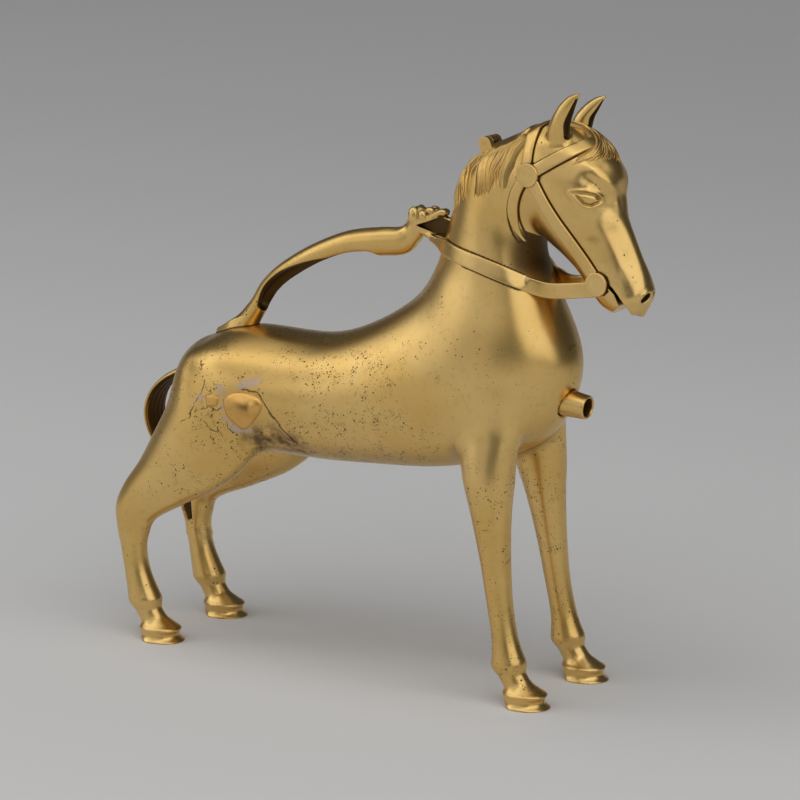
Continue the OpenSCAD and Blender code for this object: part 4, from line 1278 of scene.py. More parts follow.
@dataclass
class HeadCarving:
    """The modelling of the face: eyes, brows, bony ridges, nostrils and mouth.

    Lines are given along the head's axis, across it and above it, on the right side; a negative rise is a hollow.
    """

    hide: Hide
    eye: tuple = (
        (35.1, -20.3, -7.8), (36.8, -18.9, -4.4), (39.2, -17.2, -0.9), (42.1, -14.3, 1.5), (45.3, -12.2, 2.1),
        (46.8, -11.9, 1.2), (46.9, -13.4, -0.9), (46.4, -15.7, -4.2), (44.2, -17.5, -6.1), (40.4, -18.9, -6.6),
        (37.2, -20, -7.3),
    )
    modelling: tuple = (
        (((23, -15.4, 2.4), (29, -13.8, 5.6), (34.5, -12.6, 7.4), (39.9, -9.8, 7.7), (45.7, -6.4, 6.7), (52, -5.2, 4.0),
          (60, -4.6, 2.4)), 1.2, 2.6),
        (((28, -19, -1.5), (33, -17.4, 2.0), (38, -15, 4.4), (43, -11.6, 5.2), (48, -8.9, 3.6), (52, -8.6, 0),
          (55, -10, -5)), -1.1, 2.7),
        (((36, -18.4, -1), (40, -16.2, 2.0), (43.5, -13.2, 3.3), (47.5, -11.2, 3.2)), 0.5, 1.5),
        (((52, -15, -6.0), (62, -11.8, -6.7), (74, -10.1, -8.2), (86.5, -10.2, -10), (96, -8.8, -8.0)), 0.5, 2.6),
        (((58, -8.8, -1.2), (70, -7.4, -3.8), (86, -7.0, -6.4)), -0.4, 2.9),
        (((40, -18.5, -9), (50, -15, -12.2), (64, -12.4, -14)), -0.6, 3.4),
    )
    nostril: Triple = (101.0, -3.9, -7.3)
    lip: tuple = ((98.0, 0.0, -11.4), 5.6, (106.6, 0.0, -15.9), 1.5)
    mouth: tuple = (
        (85.5, -19.8), (88, -18), (92, -17.2), (97, -16.7), (101, -16.6), (104, -17.6), (114, -22), (114, -40),
        (99.5, -40), (98.8, -24), (98.2, -19.6), (92, -18.6), (86, -20.4),
    )

    def carve(self, grid: Grid, data: Array) -> Array:
        """Works the features into the head's field.

        Args:
            grid: The samples.
            data: The plain head.

        Returns:
            The carved field.
        """
        h = self.hide
        out = data.copy()
        a, up = np.broadcast_arrays(*h.head_axes(grid))
        i, k = int(np.searchsorted(grid.x.ravel(), 138.0)), int(np.searchsorted(grid.z.ravel(), 246.0))
        muzzle = round_cone(a[i:, :, :k], grid.y, up[i:, :, :k], *self.lip)
        out[i:, :, :k] = smooth_min(out[i:, :, :k], muzzle, 3.0)
        index, p = grid.near(out, 3.5)
        d = p - h.origin
        local = np.stack([d @ h.axis, -np.abs(p[:, 1]), d @ h.up], 1)
        change = np.zeros(len(p))
        for line, rise, width in self.modelling:
            rows, off, share = trace(local, line, 3.4 * width)
            change[rows] -= rise * bump(off, width) * ease(share, 0.0, 0.24) * ease(1 - share, 0.0, 0.24)
        change += self.eyes(local, grid, data)
        change -= 0.4 * bump(self.hole(*local.T) - 1.2, 0.9)
        out[index] += change.astype(np.float32)
        block = out[i:, :, :k]
        out[i:, :, :k] = smooth_max(block, -self.hole(a[i:, :, :k], -np.abs(grid.y), up[i:, :, :k]), 0.7)
        gap = polygon_level(a[:, 0, :], up[:, 0, :], self.mouth)[:, None, :]
        return smooth_max(out, -gap, 0.8)

    def hole(self, a: Array, y: Array, h: Array) -> Array:
        """Gives the distance to the right nostril, an egg that slants back and up.

        Args:
            a: Places along the head.
            y: Places across it, negative.
            h: Places above its axis.

        Returns:
            The distances in millimetres, negative inside.
        """
        d = (a - self.nostril[0], y - self.nostril[1], h - self.nostril[2])
        turn = ((-0.363, 0.727, 0.59), (-0.69, 0.21, -0.69), (0.626, 0.657, -0.426))
        parts = [sum(t * v for t, v in zip(row, d)) / r for row, r in zip(turn, (3.2, 3.4, 1.8))]
        return (np.sqrt(parts[0] ** 2 + parts[1] ** 2 + parts[2] ** 2) - 1.0) * 2.2

    def shade(self, points: Array) -> Array:
        """Gives the painted shade inside the nostrils at points in the part's frame."""
        d = points - self.hide.origin
        return ease(-self.hole(d @ self.hide.axis, -np.abs(points[:, 1]), d @ self.hide.up), -0.45, 0.3)

    def eyes(self, local: Array, grid: Grid, data: Array) -> Array:
        """Gives the change of the field that makes lids and eyeballs.

        Args:
            local: Points along, across and above the head's axis, on the right side.
            grid: The samples.
            data: The plain head, from which the eye's facing is read.

        Returns:
            The change at each point.
        """
        h = self.hide
        corners = np.array(self.eye)
        centre = corners.mean(0)
        out = grid.slope(data, h.place(*centre)[None])[0]
        normal = np.array([out @ h.axis, out[1], out @ h.up])
        e1 = corners[4] - corners[0]
        e1 = unit(e1 - normal * (e1 @ normal))
        e2 = np.cross(normal, e1)
        q = local - centre
        u, v, w = q @ e1, q @ e2, q @ normal
        flat = corners - centre
        lens = polygon_level(u, v, list(zip(flat @ e1, flat @ e2)))
        change = 0.8 * bump(lens + 0.45, 0.5) - 0.5 * bump(lens - 0.6, 0.55) + 0.15 * bump(lens - 2.2, 0.9)
        return (change - ease(-lens, 0.5, 2.6)) * bump(w, 7.0)


@dataclass
class Legs:
    """Solid legs with hooves; the left hind shank is a later casting under a sleeve joint."""

    shell: Shell
    voxel: float = 0.6
    joint_z: float = 45.4

    def build(self, material: Material, worn: Material) -> None:
        """Builds the four legs.

        Args:
            material: Finish of the sound legs.
            worn: Finish of the pitted right hind leg.
        """
        for name, loft in self.shell.legs():
            grid, field_, leg, body = self.fields(name, loft)
            mended = name == "hind_leg_left"
            sleeve = 0.5 * ease(-grid.z, -53, -self.joint_z - 0.5).astype(np.float32) if mended else 0.0
            form = self.crown(grid.skin(field_ - sleeve), grid, leg, body)
            if mended:
                form = form.cut(form.points[:, 2] - self.joint_z)
                form = form.filled(form.borders(), (0, 0, -1))
            make_piece(f"{name}_dressed", form, worn if name == "hind_leg_right" else material, name)
            if mended:
                shank = grid.skin(field_)
                shank = shank.cut(self.joint_z - shank.points[:, 2])
                shank = shank.filled(shank.borders(), (0, 0, 1))
                make_piece("hind_left_shank_dressed", shank, material, "hind_left_shank")

    def fields(self, name: str, loft: Loft) -> tuple[Grid, Array, Array, Array]:
        """Samples one leg and the trunk above it.

        Args:
            name: The leg's name.
            loft: Its rows.

        Returns:
            The grid, the joined field, the leg's own field and the trunk's.
        """
        x = loft.row(np.arange(len(loft.rows)))[:, [0, 2]]
        inner, outer = sorted((loft.side * 2.0, loft.side * 46.0))
        grid = Grid((x.min() - 9, inner, -2), (x.max() + 9, outer, 172), self.voxel, 1.2)
        sh, front = self.shell, name.startswith("front")
        first, last, dome, hoof_x = (3, 10, 0, HOOF_X) if front else (0, 5, sh.hide.rump_dome, HOOF_X - WHEELBASE)
        body = grid.level(sh.hide.body.form(first, last, domes=(dome, 0), sides=256), sh.leg_band)
        leg = sh.limb(grid, name, loft, sh.leg_band)
        whole = grid.soften(smooth_min(body, leg, sh.leg_blend), 3)
        return grid, self.hoof(grid, whole, hoof_x), leg, body

    def hoof(self, grid: Grid, whole: Array, x: float) -> Array:
        """Works the fetlock's lip, the coronet and the hollow wall into a leg, and lifts the heel.

        Args:
            grid: The samples.
            whole: The plain leg.
            x: Where the hoof stands.

        Returns:
            The worked field.
        """
        k = int(np.searchsorted(grid.z.ravel(), 34.0))
        gx, gz = grid.x, grid.z[:, :, :k]
        s = (gz - 22.4) * 0.984 - (gx - x + 0.5) * 0.1767
        change = 1.1 * bump(s + 2.8, 2.3) - 0.3 * bump(s - 1.2, 2.0)
        change = change - 0.45 * bump(gz - 7.2, 0.7) + 0.8 * bump(gz - 3.1, 1.6) - 0.7 * bump(gz - 0.1, 0.7)
        out = whole.copy()
        out[:, :, :k] += change.astype(np.float32)
        heel = 2.7 * ease(x - 3.0 - gx, 0.0, 9.0) - gz
        out[:, :, :k] = np.maximum(out[:, :, :k], heel)
        return out

    def crown(self, form: Form, grid: Grid, leg: Array, body: Array) -> Form:
        """Cuts a leg from the trunk's skin and closes its seat.

        Args:
            form: Skin of leg and trunk.
            grid: The samples.
            leg: The leg's field.
            body: The trunk's field.

        Returns:
            The closed leg.
        """
        form = form.cut(grid.sample(body - leg, form.points))
        for ring in form.borders():
            form = form.joined(self.shell.seat(form.points[ring[::-1]], grid, body).flipped())
        return form


def grafted(part: Array, hide: Array, fillet: float) -> Array:
    """Seats a cast-on part on the hide with a fillet, leaving only what lies outside the hide."""
    return np.maximum(np.maximum(smooth_min(part, hide, fillet), -(hide + SEAT_SINK)), part - 0.97 * fillet)


@dataclass
class Ears:
    """Pricked, cupped ears, the left one shorter."""

    shell: Shell
    rise_right: float = 19.0
    rise_left: float = 14.5

    def build(self, material: Material) -> None:
        """Builds both ears."""
        for side, r in ((Side.RIGHT, self.rise_right), (Side.LEFT, self.rise_left)):
            rows = (
                (-0.8, 302, 11, 303, 11, 5.2),
                (1.2, 311 + 0.1 * r, 12.6, 311 + 0.06 * r, 12.4, 5.4),
                (6.4, 311 + 0.58 * r, 15.5, 311 + 0.48 * r, 13.2, 4.2),
                (12.4, 311 + 0.89 * r, 18, 311 + 0.79 * r, 13.6, 2.3),
                (17.5, 311 + r, 19.5, 311 + 0.94 * r, 13.8, 0.8),
            )
            cup = (
                (7.8, 307.5, 17, 307.5, 12.2, 2.0),
                (7.6, 311 + 0.2 * r, 19, 311 + 0.12 * r, 12.9, 3.0),
                (11.6, 311 + 0.58 * r, 21, 311 + 0.44 * r, 13.5, 2.0),
                (16.0, 311 + 0.88 * r, 23, 311 + 0.77 * r, 13.8, 0.8),
            )
            low, high = sorted((side.value * 2.0, side.value * 24.0))
            grid = Grid((98, low, 296), (134, high, 334), 0.32)
            hide = self.shell.hide.upper(grid, (12.0, 16.0), 4.0)
            ear = grid.level(Loft(rows, side.value).form(0, 4, domes=(0, 0.6)), 6.0)
            hollow = grid.level(Loft(cup, side.value).form(0, 3, domes=(2, 0)), 6.0)
            form = grid.skin(grafted(smooth_max(ear, -hollow, 0.9), hide, 2.2))
            # painted shade inside the cup
            form.darken(ease(-grid.sample(hollow, form.points), -0.9, -0.1))
            name = f"ear_{side.name.lower()}"
            make_piece(f"{name}_dressed", form, material, name)


@dataclass
class Handle:
    """The arched handle: a slender beast that stands on the croup and bites the reins."""

    shell: Shell
    width: float = 15.0
    depth: float = 13.0
    mouth: tuple = (
        (20.5, 249.3), (26.5, 251.3), (34.5, 254.6), (41.5, 252.6), (41.5, 243), (34, 243.4), (29.5, 246.6),
        (24.2, 248.2),
    )
    under: tuple = (
        (14.6, 233.0), (17.2, 236.4), (19.5, 239.9), (23.6, 243.2), (26.4, 243.0), (31, 240.4), (36, 238), (36, 226),
        (14, 226),
    )
    broken: tuple = (-0.45, 0.1, 0.12, -0.4, -1.0, -1.3)

    def arch(self, x: float, z: float, lean: float, depth: float, width: float) -> tuple:
        """Gives one row of the arch, leaning by an angle in degrees."""
        a = math.radians(lean)
        d = self.depth * depth
        return (x, z, x + d * math.sin(a), z - d * math.cos(a), 0, self.width / 2 * width)

    def rows(self) -> tuple:
        """Lists the rows from the foot on the croup to the snout."""
        return (
            (-226, 174, -221, 166, 0, 3.75),
            (-214, 181.5, -206, 172, 0, 6.75),
            (-205, 188, -199, 176, 0, 6.6),
            self.arch(-197.14, 196.88, 62, 0.78, 0.85),
            self.arch(-189.67, 208.04, 56, 0.84, 0.87),
            self.arch(-177.14, 219.2, 46, 0.95, 0.95),
            self.arch(-156.89, 231.4, 31, 1.02, 1),
            self.arch(-134, 241, 18, 1.14, 1),
            self.arch(-113, 245, 5, 1.22, 1),
            self.arch(-100.5, 246.4, 12, 1.18, 0.9),
            (-95.5, 249.5, -89.5, 236.5, 0, 5.3),
            (-91, 256, -84, 242.6, 0, 5.6),
            (-81, 257.2, -76, 244, 0, 5.4),
            (-66.3, 254, -63, 244.4, 0, 4.2),
        )

    def hollow(self, near: bool) -> Loft:
        """Gives the channel along the underside, or the piece that is missing from its near wall.

        Args:
            near: Whether the missing piece is meant.

        Returns:
            The channel's rows.
        """
        out = []
        for r, gone in zip(Loft(self.rows(), shift=0.0).row(np.arange(3, 9)), self.broken):
            up, low = r[[0, 1]], r[[2, 3]]
            mid, half = (up + low) / 2, np.linalg.norm(up - low) / 2
            n = (up - low) / (2 * half)
            a, b = mid + n * half * (gone if near else 0.3), mid - n * (half + 3.0)
            out.append((a[0], a[1], b[0], b[1], -6.4 if near else 0.0, 5.2 if near else r[5] - 1.9))
        return Loft(out)

    def build(self, material: Material) -> None:
        """Builds the handle with the beast's head."""
        grid = Grid((-128, -14, 158), (58, 14, 268), 0.5, 1.1)
        body = self.shell.hide
        hide = grid.level(body.body.form(0, 12, domes=(body.rump_dome, 0)), 6.0)
        part = grid.soften(grid.level(Loft(self.rows()).form(0, 13, domes=(2, 2)), 6.0), 1)
        hollow = grid.level(self.hollow(False).form(0.2, 4.6, domes=(4, 6)), 6.0)
        hollow = np.minimum(hollow, grid.level(self.hollow(True).form(0.2, 4.4, domes=(3, 3)), 6.0))
        part = self.beast(grid, smooth_max(part, -hollow, 1.0))
        # a thin leaf that reaches back over the croup
        wide = 5.6 * np.sqrt(np.clip((grid.x + 115.6) / 13.0, 0.0, 1.0))
        leaf = smooth_max(hide - 2.5 - 2.4 * ease(grid.x, -112.0, -97.0), np.abs(grid.y) - wide, 0.9)
        part = smooth_max(smooth_min(part, np.maximum(leaf, grid.x + 93.0), 1.6), -113.6 - grid.x, 0.8)
        form = grid.skin(grafted(part, hide, 0.5), 3.5)
        p = form.points
        # painted shade in the channel under the arch, in the open jaws and where the foot sinks into the croup
        form.darken(ease(-grid.sample(hollow, p), -0.75, -0.1))
        bite = np.maximum(polygon_level(p[:, 0], p[:, 2], self.mouth), np.abs(p[:, 1]) - 4.2)
        form.darken(ease(-bite, -0.3, 0.3))
        form.darken(0.85 * ease(-grid.sample(hide, p), -1.0, -0.2) * ease(-p[:, 0], 82.0, 90.0))
        make_piece("handle_beast", form, material, "handle")

    def beast(self, grid: Grid, part: Array) -> Array:
        """Models the beast's head on the end of the arch.

        Args:
            grid: The samples.
            part: The plain handle.

        Returns:
            The handle with brows, eyes, ears, snout and open jaws.
        """
        i = int(np.searchsorted(grid.x.ravel(), 4.0))
        x, ay, z = grid.x[i:], np.abs(grid.y), grid.z
        head = part[i:]
        lump: Callable[..., Array] = lambda at, radii: min(radii) * (
            np.sqrt(sum(((v - c) / r) ** 2 for v, c, r in zip((x, ay, z), at, radii))) - 1.0
        )
        rod: Callable[..., Array] = lambda *ends: round_cone(x, ay, z, *ends)
        u, v = np.broadcast_arrays(x[:, 0, :], z[:, 0, :])
        web = np.maximum(polygon_level(u, v, self.mouth)[:, None, :], 1.9 - ay)
        head = smooth_max(head, -web, 0.7)
        head = smooth_max(head, -polygon_level(u, v, self.under)[:, None, :], 0.8)
        for made, k in (
            (lump((20.0, 0, 255.0), (5.2, 4.8, 4.2)), 1.0),
            (rod((26, 0, 255.6), 2.9, (35.4, 0, 256.8), 2.1), 0.9),
            (rod((23.6, 2.8, 246.2), 1.9, (28.3, 3.6, 244.4), 1.7), 0.8),
            (rod((28.3, 3.6, 244.4), 1.7, (32.5, 5.0, 242.2), 1.6), 0.8),
            (lump((18.4, 3.7, 253.9), (3.5, 3.0, 5.3)), 0.5),
            (lump((24.3, 4.1, 254.6), (2.6, 2.3, 3.1)), 0.3),
            (lump((28.0, 2.4, 257.6), (2.9, 2.3, 2.0)), 0.6),
            (rod((26.5, 3.2, 252.9), 1.4, (34.6, 2.2, 257.4), 1.5), 0.7),
            (lump((35.6, 1.6, 257.0), (2.4, 1.9, 1.9)), 0.7),
        ):
            head = smooth_min(head, made, k)
        out = part.copy()
        out[i:] = head
        return out


@dataclass
class Tail:
    """A broad ribbon of hair that bows out and hangs between the hind legs."""

    shell: Shell
    width: float = 20.0
    depth: float = 4.6
    locks: int = 5
    stations: tuple = (
        (-225, 168, -80, 0.7), (-241, 155.5, -70, 0.85), (-255, 147.5, -58, 1), (-265, 137.5, -32, 1),
        (-269, 125, 0, 1), (-266.5, 113, 27, 0.97), (-260, 102, 31, 0.92), (-254, 89, 20, 0.8),
        (-249, 76, 14, 0.55), (-246, 63, 10, 0.22),
    )

    def rows(self) -> list[tuple]:
        """Lists the rows from the dock to the tip."""
        out = []
        for x, z, lean, w in self.stations:
            a = math.radians(lean)
            out.append((x + self.depth * math.cos(a), z + self.depth * math.sin(a), x, z, 0, self.width / 2 * w))
        return out

    def build(self, material: Material) -> None:
        """Builds the tail with shallow furrows between its locks."""
        grid = Grid((-172, -13, 56), (-100, 13, 182), 0.45)
        loft = Loft(self.rows())
        body = self.shell.hide
        hide = grid.level(body.body.form(0, 3, domes=(body.rump_dome, 0)), 6.0)
        part = grid.level(loft.form(0, 9, domes=(0, 1.0)), 6.0)
        index, p = grid.near(part, 2.5)
        t = np.linspace(0, 9, 400)
        rows = loft.row(t)
        mids = (rows[:, [0, 1]] + rows[:, [2, 3]]) / 2
        best = np.argmin(((p[:, None, [0, 2]] - mids[None, ::4]) ** 2).sum(2), axis=1) * 4
        across = p[:, 1] / np.maximum(rows[best, 5], 1.5)
        wave = np.abs(np.sin(across * math.pi * self.locks / 2 + 0.35 * np.sin(t[best] * 1.7)))
        part[index] += (0.75 * bump(wave, 0.28) * ease(t[best], 0.4, 1.6)).astype(np.float32)
        form = grid.skin(grafted(part, hide, 3.0), 2.0)
        # painted shade on the side that faces the legs
        rear = np.interp(form.points[:, 2], mids[::-1, 1], mids[::-1, 0])
        form.darken(0.9 * ease(form.points[:, 0] - rear, 0.2, 1.4))
        make_piece("tail_ribbon", form, material, "tail")


@dataclass
class Bridle:
    """Straps, reins and rosettes in relief."""

    shell: Shell
    strap: float = 7.4
    rein: float = 8.4
    brow: tuple[float, float] = (100.218, 286.04)
    bit: tuple[float, float] = (137.858, 230.5)
    rosette: float = 6.6
    rosette_thick: float = 3.3
    rein_start: tuple = ((30.0, 4.4, 243.4), (36.0, 7.6, 242.2))
    rein_on_neck: tuple = (
        (42.9, 11.6, 241.1), (50, 17.2, 240.2), (58.1, 21.4, 238.9), (73.1, 24.2, 236), (88, 21.3, 230.9),
        (95, 16.8, 227.4),
    )
    rein_free: tuple = ((104.0, 13.4, 224.6), (112.0, 12.7, 224.2), (125.3, 12.8, 225.9))
    # centre lines and half widths along which shade is painted on the hide
    paths: list[tuple[Array, float]] = field(default_factory=list)

    def band(self, centre: Array, facing: Array, width: Array | float, cling: Array, thick: float) -> Form:
        """Lays a strap with rounded edges along a path.

        Args:
            centre: The path.
            facing: Direction out of the strap at each point.
            width: The strap's width, one value or one a point.
            cling: 1 where the strap lies on the skin, 0 where it hangs free.
            thick: The strap's thickness.

        Returns:
            The closed strap.
        """
        share = np.array([-1, -1, -0.985, -0.94, -0.85, -0.5, 0, 0.5, 0.85, 0.94, 0.985, 1, 1, 0.6, 0, -0.6])
        high = np.array([-0.35, 0.35, 0.68, 0.9, 1.0, 1.04, 1.05, 1.04, 1.0, 0.9, 0.68, 0.35] + [-0.35] * 4)
        across = unit(np.cross(facing, unit(np.gradient(centre, axis=0))))
        rings = np.zeros((len(centre), len(share), 3))
        self.paths.append((centre[cling > 0.6], float(np.max(width)) / 2))
        half = np.broadcast_to(np.asarray(width, float), len(centre))[:, None] / 2
        for k, (v, t) in enumerate(zip(share, high)):
            base = centre + across * v * half
            laid = self.shell.onto(base, 0.0, 3)
            base = base + (laid - base) * cling[:, None]
            out = unit(self.shell.facing(base) * cling[:, None] + facing * (1 - cling[:, None]))
            rings[:, k] = base + out * (t * thick)
        form = closed_rings(rings, rings[0].mean(0), rings[-1].mean(0))
        # painted shade along the strap's lower edges where it lies on the skin
        edge = np.clip(0.9 - 1.3 * np.clip(high, 0, 1), 0, 1)
        form.recess = np.append(np.outer(cling, edge), [0.0, 0.0])
        return form

    def sideways(self, path: Array, side: Side) -> Array:
        """Puts a path drawn in X and Z onto one side of the horse."""
        start = np.stack([path[:, 0], np.zeros(len(path)), path[:, 1]], 1)
        return self.shell.shoot(start, np.tile([0.0, float(side.value), 0.0], (len(path), 1)))

    def laid(self, path: Array, side: Side, width: Array | float, thick: float) -> Form:
        """Makes a strap that lies on one side of the horse all along a path in X and Z."""
        centre = self.sideways(path, side)
        return self.band(centre, self.shell.facing(centre), width, np.ones(len(centre)), thick)

    def round(self, middle: Sequence[float], front: Sequence[float], sweep: float, width: float, thick: float) -> Form:
        """Makes a strap that goes round the head in a slanted plane.

        Args:
            middle: A point inside the head.
            front: The direction in X and Z of the strap's middle.
            sweep: Angle to each side in degrees.
            width: The strap's width.
            thick: The strap's thickness.

        Returns:
            The strap.
        """
        a = np.radians(np.linspace(-sweep, sweep, 90))
        e = unit(np.array([front[0], 0.0, front[1]]))
        ray = np.outer(np.cos(a), e) + np.outer(np.sin(a), [0.0, 1.0, 0.0])
        centre = self.shell.shoot(np.tile(middle, (len(a), 1)), ray, 40.0)
        return self.band(centre, self.shell.facing(centre), width, np.ones(len(a)), thick)

    def build(self, material: Material) -> None:
        """Builds every strap and rosette."""
        add: Callable[[str, Form], None] = lambda name, form: make_piece(
            f"{name}_dressed", form, material, name
        )
        brow, bit = np.array(self.brow), np.array(self.bit)
        line = np.array([52.84, 31.76]) / np.hypot(52.84, 31.76)
        start = brow + line * 10
        add("browband", self.round((start[0], 0.0, start[1]), line, 116.0, 6.6, 1.7))
        add("crownpiece", self.round((98.4, 0.0, 287.0), (0.0, 1.0), 93.0, 6.4, 1.4))
        arc = np.radians(np.linspace(128.3, 209, 60))
        throat = np.stack([10.94 + HOOF_X + 29 * np.cos(arc), 263.3 + 29 * np.sin(arc)], 1)
        wide = 5.6 - 4.3 * ease(arc, arc[34], arc[-1])
        add("throatlatch", self.laid(throat, Side.RIGHT, wide, 1.9).joined(self.laid(throat, Side.LEFT, wide, 1.9)))
        for side in Side:
            word = side.name.lower()
            cheek = brow + np.linspace(0, 1, 80)[:, None] * (bit - brow)
            add(f"cheek_strap_{word}", self.laid(cheek, side, self.strap, 1.7))
            add(f"rein_{word}", self.reins(side))
        add("brow_rosettes", self.discs(brow))
        add("bit_rosettes", self.discs(bit))
        # painted shade along the strap edges on neck and head
        for name in ("neck", "head"):
            self.outline(bpy.data.objects[name].data)

    def outline(self, mesh: bpy.types.Mesh) -> None:
        """Paints shade on the hide along the edges of the straps.

        Args:
            mesh: The neck or the head.
        """
        co, dark = np.zeros(len(mesh.vertices) * 3, np.float32), np.zeros(len(mesh.vertices), np.float32)
        mesh.vertices.foreach_get("co", co)
        mark = mesh.attributes["recess"].data
        mark.foreach_get("value", dark)
        points = co.reshape(-1, 3).astype(float) / MM
        for path, half in self.paths:
            rows, off, _ = trace(points, path[::4], half + 2.0, max(len(path) // 4, 4))
            dark[rows] = np.maximum(dark[rows], 0.9 * bump(off - half - 0.2, 0.5))
        mark.foreach_set("value", dark)

    def reins(self, side: Side) -> Form:
        """Runs a rein from the beast's jaws along the neck and free to the bit.

        Args:
            side: The side of the horse.

        Returns:
            The rein.
        """
        s = float(side.value)
        mirror = np.array([1.0, s, 1.0])
        laid = self.shell.onto(along(self.rein_on_neck, 40) * mirror)
        end = self.sideways(np.array([self.bit]), side)[0] + np.array([0.0, 0.4 * s, -2.8])
        free = np.vstack([np.array(self.rein_free) * mirror, end])
        centre = along(np.vstack([np.array(self.rein_start) * mirror, laid[::3], free]), 190)
        x = centre[:, 0]
        cling = ease(x, 38, 45) * (1 - ease(x, 91, 99))
        plain = unit(np.array([0.0, s, 0.12]))
        facing = unit(self.shell.facing(centre) * cling[:, None] + plain * (1 - cling[:, None]))
        return self.band(centre, facing, self.rein * (0.42 + 0.58 * ease(x, 31, 46)), cling, 1.6)

    def discs(self, at: Array) -> Form:
        """Turns a pair of rosettes with a soft rim and a shallow dish.

        Args:
            at: X and Z of the pair.

        Returns:
            Both discs.
        """
        r, t = self.rosette, self.rosette_thick
        rim = (
            (0.55, 1), (0.82, 0.98), (0.97, 0.94), (1, 0.88), (0.97, 0.8), (0.93, 0.7), (0.95, 0.4), (1, 0.16), (1, 0),
        )
        profile = [(-2.0, 0.0), (-2.0, r)] + [(t * high, r * wide) for high, wide in rim]
        # painted shade at the rosette's foot and in its dish
        dark = np.repeat([1.0, 0.75, 0.25, 0.0, 0.0, 0.12, 0.2, 0.12, 0.0], 72)
        out: Form | None = None
        for side in Side:
            foot = self.sideways(at[None], side)[0]
            disc = lathe(profile, foot, np.array([0.0, float(side.value), 0.0]))
            disc.recess = np.append(dark, [0.0, 0.0])
            a = np.linspace(0, 2 * math.pi, 40)
            # a ring of painted shade on the hide round the rosette
            self.paths.append((foot + np.stack([r * np.cos(a), 0 * a, r * np.sin(a)], 1), 0.0))
            out = disc if out is None else out.joined(disc)
        return out


@dataclass
class Lid:
    """The lid over the filling mouth, with its knuckle, and the lugs and pin that carry it."""

    shell: Shell
    thick: float = 2.2
    knuckle: float = 3.7
    knuckle_wide: float = 5.5
    hinge: tuple[float, float] = (64.1639, 297.692)

    def build(self, material: Material, pin: Material) -> None:
        """Builds the lid and dresses lugs and pin.

        Args:
            material: The lid's finish.
            pin: The pin's finish.
        """
        sh = self.shell
        grid = Grid((56, -14, 285), (106, 14, 318), 0.34)
        hide = sh.hide.upper(grid, (11.0, 16.0), 4.0)
        u, v = sh.crest(grid.x, grid.z)
        plate = smooth_max(hide - self.thick, sh.oblong(u, grid.y, 0.0), 1.1)
        plate = np.maximum(np.maximum(plate, 0.15 - hide), -9.0 - v)
        beside = np.abs(grid.y) - self.knuckle_wide / 2
        leaf = np.maximum(np.maximum(np.abs(u - 4.2) - 4.2, beside), np.abs(v - 1.6) - 0.85)
        off = np.hypot(grid.x - self.hinge[0], grid.z - self.hinge[1])
        roll = smooth_max(off - self.knuckle, beside, 0.6)
        whole = smooth_min(smooth_min(plate, leaf, 0.9), roll, 0.9)
        form = grid.skin(np.maximum(whole, 1.5 - off).astype(np.float32), 2.0)
        make_piece("lid_plate", form, material, "lid", Body.LID)
        for node, finish in (("hinge_lugs", material), ("hinge_pin", pin)):
            dress(node, finish)


def dress(node: str, material: Material) -> None:
    """Gives a CAD node that stays in view its finish.

    Args:
        node: The node's name.
        material: The finish.
    """
    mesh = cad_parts[node].data
    mesh.materials.clear()
    mesh.materials.append(material)
    LOG.info("%s: CAD node", node)


@dataclass
class Spout:
    """The plain round spout in the breast."""

    root: Triple = (115.058, 0.0, 161.5)
    fall: float = 6.0
    root_radius: float = 7.8
    tip_radius: float = 6.5
    bore: float = 5.0

    def build(self, material: Material) -> None:
        """Turns the spout with a softly rounded lip."""
        a = math.radians(self.fall)
        t, b = self.tip_radius, self.bore
        profile = [(-9, b), (-9, self.root_radius), (-2, 7.45), (5, 6.9), (9.2, t + 0.1), (10.3, t - 0.02),
                   (10.85, t - 0.3), (11, t - 0.75), (10.9, b + 0.35), (10.5, b + 0.08), (9.6, b)]
        form = lathe(profile, np.array(self.root), np.array([math.cos(a), 0.0, -math.sin(a)]), 84)
        make_piece("spout_tube", form, material, "spout")


@dataclass
class HairTree:
    """Geometry nodes that turn guide lines into tapered strands."""

    name: str = "strands"

    def build(self) -> bpy.types.NodeTree:
        """Lays out the tree with inputs for strand size, corners and finish.

        Returns:
            The node group.
        """
        tree = bpy.data.node_groups.new(self.name, "GeometryNodeTree")
        inputs = (("Guides", "Geometry"), ("Strand size", "Float"), ("Corners", "Int"), ("Finish", "Material"))
        for name, kind in inputs:
            tree.interface.new_socket(name, in_out="INPUT", socket_type=f"NodeSocket{kind}")
        tree.interface.new_socket("Hair", in_out="OUTPUT", socket_type="NodeSocketGeometry")
        kinds = ("NodeGroupInput", "NodeGroupOutput", "GeometryNodeMeshToCurve", "GeometryNodeCurvePrimitiveCircle",
                 "GeometryNodeCurveToMesh", "GeometryNodeInputNamedAttribute", "ShaderNodeMath",
                 "GeometryNodeSetShadeSmooth", "GeometryNodeRealizeInstances", "GeometryNodeSetMaterial")
        source, sink, curve, ring, sweep, thick, scale, smooth, real, paint = (tree.nodes.new(kind) for kind in kinds)
        thick.data_type = "FLOAT"
        thick.inputs["Name"].default_value = "thick"
        scale.operation = "MULTIPLY"
        ring.inputs["Radius"].default_value = 1.0
        sweep.inputs["Fill Caps"].default_value = True
        for start, out, end, socket in (
            (source, "Guides", curve, "Mesh"),
            (source, "Corners", ring, "Resolution"),
            (thick, "Attribute", scale, 0),
            (source, "Strand size", scale, 1),
            (curve, "Curve", sweep, "Curve"),
            (ring, "Curve", sweep, "Profile Curve"),
            (scale, 0, sweep, "Scale"),
            (sweep, "Mesh", smooth, "Geometry"),
            (smooth, "Geometry", real, "Geometry"),
            (real, "Geometry", paint, "Geometry"),
            (source, "Finish", paint, "Material"),
            (paint, "Geometry", sink, "Hair"),
        ):
            tree.links.new(start.outputs[out], end.inputs[socket])
        return tree


